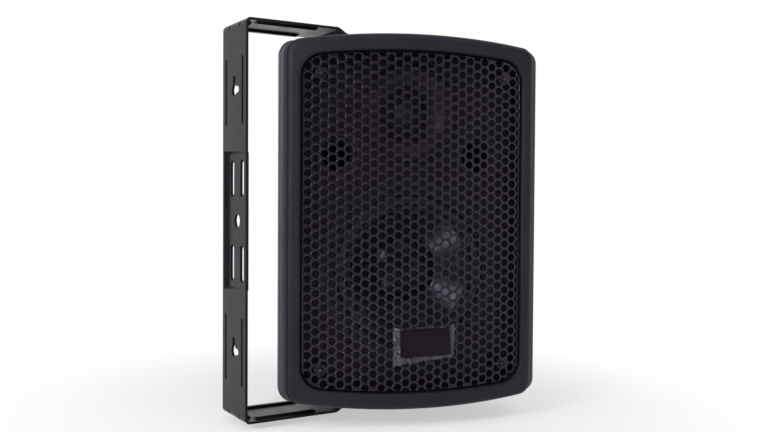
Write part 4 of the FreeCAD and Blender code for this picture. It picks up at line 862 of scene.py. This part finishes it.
def clear_film(name, ior, low, high):
    """Clear sheet whose roughness runs from low to high."""
    n = Nodes(name)
    n.feed(n.ramp(n.noise(160.0, 4.0), [(0.3, (0.86, 0.86, 0.9)), (0.7, (1, 1, 1))]), "Base Color")
    n.feed(n.spread(n.noise(420.0, 3.0), low, high), "Roughness")
    n.fix(Transmission_Weight=1.0, IOR=ior)
    return n.material


film_flat = clear_film("film_flat", 1.06, 0.02, 0.06)
film = new_piece("badge_film", build_film(), film_flat, "cabinet", 0.9)
film.data.materials.append(clear_film("film_loose", 1.37, 0.03, 0.1))
film.data.materials.append(clear_film("film_crumpled", 1.5, 0.0, 0.04))


# Camera at the photograph's place, from a fit to the grille's holes
YAW, TILT, LEAN = 0.218181958, 0.0254344627, 0.00617050623
FIT_SHIFT = Vector((3.2560125, 92.9188638, 1.43801197))  # in pitches of the holes
FIT_ORIGIN = Vector((-1.0, -80.0, 14.75))  # hole from which the fit counts
FOCAL_PIXELS, IMAGE_WIDTH = 885.491511, 768
SENSOR = 36.0


def make_camera():
    """The scene's camera, with its place and turn given about the cabinet's own axes."""
    turn = Matrix.Rotation(LEAN, 3, "Y") @ Matrix.Rotation(TILT, 3, "X") @ Matrix.Rotation(YAW, 3, "Z")
    local = (FIT_ORIGIN - turn.transposed() @ (FIT_SHIFT * PITCH)) * MM
    right, ahead, up = (Vector(turn[i]) for i in range(3))
    axes = Matrix((SPIN @ right, SPIN @ up, SPIN @ -ahead)).transposed()
    data = bpy.data.cameras.new("camera")
    data.sensor_width = SENSOR
    data.lens = FOCAL_PIXELS / IMAGE_WIDTH * SENSOR
    data.clip_start = 0.01
    data.clip_end = 50.0
    camera = bpy.data.objects.new("camera", data)
    camera.matrix_world = Matrix.Translation(TO_WORLD @ local) @ axes.to_4x4()
    scene.collection.objects.link(camera)
    scene.camera = camera


make_camera()


# Floor, light and background
WHITE = (1, 1, 1, 1)
FLOOR_PLACE = (0, -0.1, -0.1525)
FLOOR_RADIUS = 3.0
SOFT = 0.5  # strength of the world's light
DIM = 0.15  # how bright reflections find the world in front of the cabinet


def white_for_view(tree):
    """Factor that is 1 for camera, glossy and transmission rays and 0 otherwise."""
    path = add_node(tree, "ShaderNodeLightPath")
    total = path.outputs["Is Camera Ray"]
    for name in ("Is Glossy Ray", "Is Transmission Ray"):
        both = add_node(tree, "ShaderNodeMath", operation="MAXIMUM")
        tree.links.new(total, both.inputs[0])
        tree.links.new(path.outputs[name], both.inputs[1])
        total = both.outputs[0]
    return total


def dim_ahead(tree, source, low):
    """Brightness that falls from 1 behind the cabinet to low in front of it."""
    ahead = add_node(tree, "ShaderNodeVectorMath", {1: -INWARD}, operation="DOT_PRODUCT")
    tree.links.new(source, ahead.inputs[0])
    values = {"From Min": -0.1, "From Max": 0.45, "To Min": 1.0, "To Max": low}
    fall = add_node(tree, "ShaderNodeMapRange", values)
    tree.links.new(ahead.outputs["Value"], fall.inputs["Value"])
    return fall.outputs["Result"]


def mixed(tree, factor, first, second, out):
    """Blend two shaders by a factor into an output."""
    mix = add_node(tree, "ShaderNodeMixShader")
    tree.links.new(factor, mix.inputs["Fac"])
    tree.links.new(first.outputs[0], mix.inputs[1])
    tree.links.new(second.outputs[0], mix.inputs[2])
    tree.links.new(mix.outputs[0], out.inputs["Surface"])


def make_world():
    """White to the camera, white behind the object and dim in front of it to reflections, soft light else."""
    world = bpy.data.worlds.new("studio")
    scene.world = world
    world.use_nodes = True
    tree = world.node_tree
    tree.nodes.clear()
    out = add_node(tree, "ShaderNodeOutputWorld")
    soft = add_node(tree, "ShaderNodeBackground", {"Color": (0.96, 0.97, 1.0, 1), "Strength": SOFT})
    white = add_node(tree, "ShaderNodeBackground", {"Color": WHITE})
    path = add_node(tree, "ShaderNodeLightPath")
    place = add_node(tree, "ShaderNodeTexCoord")
    level = add_node(tree, "ShaderNodeMath", operation="MAXIMUM")
    tree.links.new(path.outputs["Is Camera Ray"], level.inputs[0])
    tree.links.new(dim_ahead(tree, place.outputs["Generated"], DIM), level.inputs[1])
    tree.links.new(level.outputs[0], white.inputs["Strength"])
    mixed(tree, white_for_view(tree), soft, white, out)


def make_floor():
    """Pale floor that fades to the white background away from the object."""
    bm = bmesh.new()
    bmesh.ops.create_circle(bm, cap_ends=True, segments=96, radius=FLOOR_RADIUS)
    mesh = bpy.data.meshes.new("floor")
    bm.to_mesh(mesh)
    bm.free()
    floor = bpy.data.objects.new("floor", mesh)
    floor.location = FLOOR_PLACE
    scene.collection.objects.link(floor)
    n = Nodes("floor_pale")
    n.fix(Base_Color=(0.93, 0.93, 0.93, 1), Roughness=0.8, Specular_IOR_Level=0.1)
    white = n.add("ShaderNodeEmission", {"Color": WHITE})
    far = n.add("ShaderNodeVectorMath", operation="LENGTH")
    n.link(n.place, far.inputs[0])
    values = {"From Min": 0.12, "From Max": 0.36, "To Min": 0.5}
    fade = n.add("ShaderNodeMapRange", values, interpolation_type="SMOOTHSTEP")
    n.link(far.outputs["Value"], fade.inputs["Value"])
    gate = n.add("ShaderNodeMath", operation="MULTIPLY")
    n.link(fade.outputs["Result"], gate.inputs[0])
    n.link(white_for_view(n.tree), gate.inputs[1])
    mixed(n.tree, gate.outputs[0], n.shader, white, n.tree.nodes["Material Output"])
    mesh.materials.append(n.material)


def area_light(name, local, target, size, power, spread=math.pi):
    """Soft box placed about the cabinet's own axes: place, target and size in metres, power in watts."""
    data = bpy.data.lights.new(name, "AREA")
    data.shape = "RECTANGLE"
    data.size, data.size_y = size
    data.energy = power
    data.spread = spread
    box = bpy.data.objects.new(name, data)
    place = TO_WORLD @ Vector(local)
    aim = TO_WORLD @ Vector(target)
    box.location = place
    box.rotation_mode = "QUATERNION"
    box.rotation_quaternion = (aim - place).to_track_quat("-Z", "Y")
    box.visible_camera = False
    scene.collection.objects.link(box)


make_world()
make_floor()
CENTRE = (0, 0, 0)
area_light("left_box", (-0.9, -0.84, 0.55), CENTRE, size=(0.35, 0.45), power=8.0)
area_light("side_box", (-1.2, -0.3, 0.1), CENTRE, size=(0.25, 0.8), power=5.0)
area_light("front_box", (0.3, -1.2, 1.3), CENTRE, size=(1.0, 0.6), power=5.8)
area_light("right_box", (1.2, -0.2, 0.5), CENTRE, size=(0.4, 0.9), power=0.7)
area_light("haze_box", (0.95, -1.15, 0.05), CENTRE, size=(0.4, 0.9), power=2.2)
area_light("floor_card", (-0.075, -0.135, -0.149), (0.03, -0.054, -0.01), size=(0.06, 0.05), power=0.012,
           spread=0.8)

scene.view_settings.view_transform = "Standard"
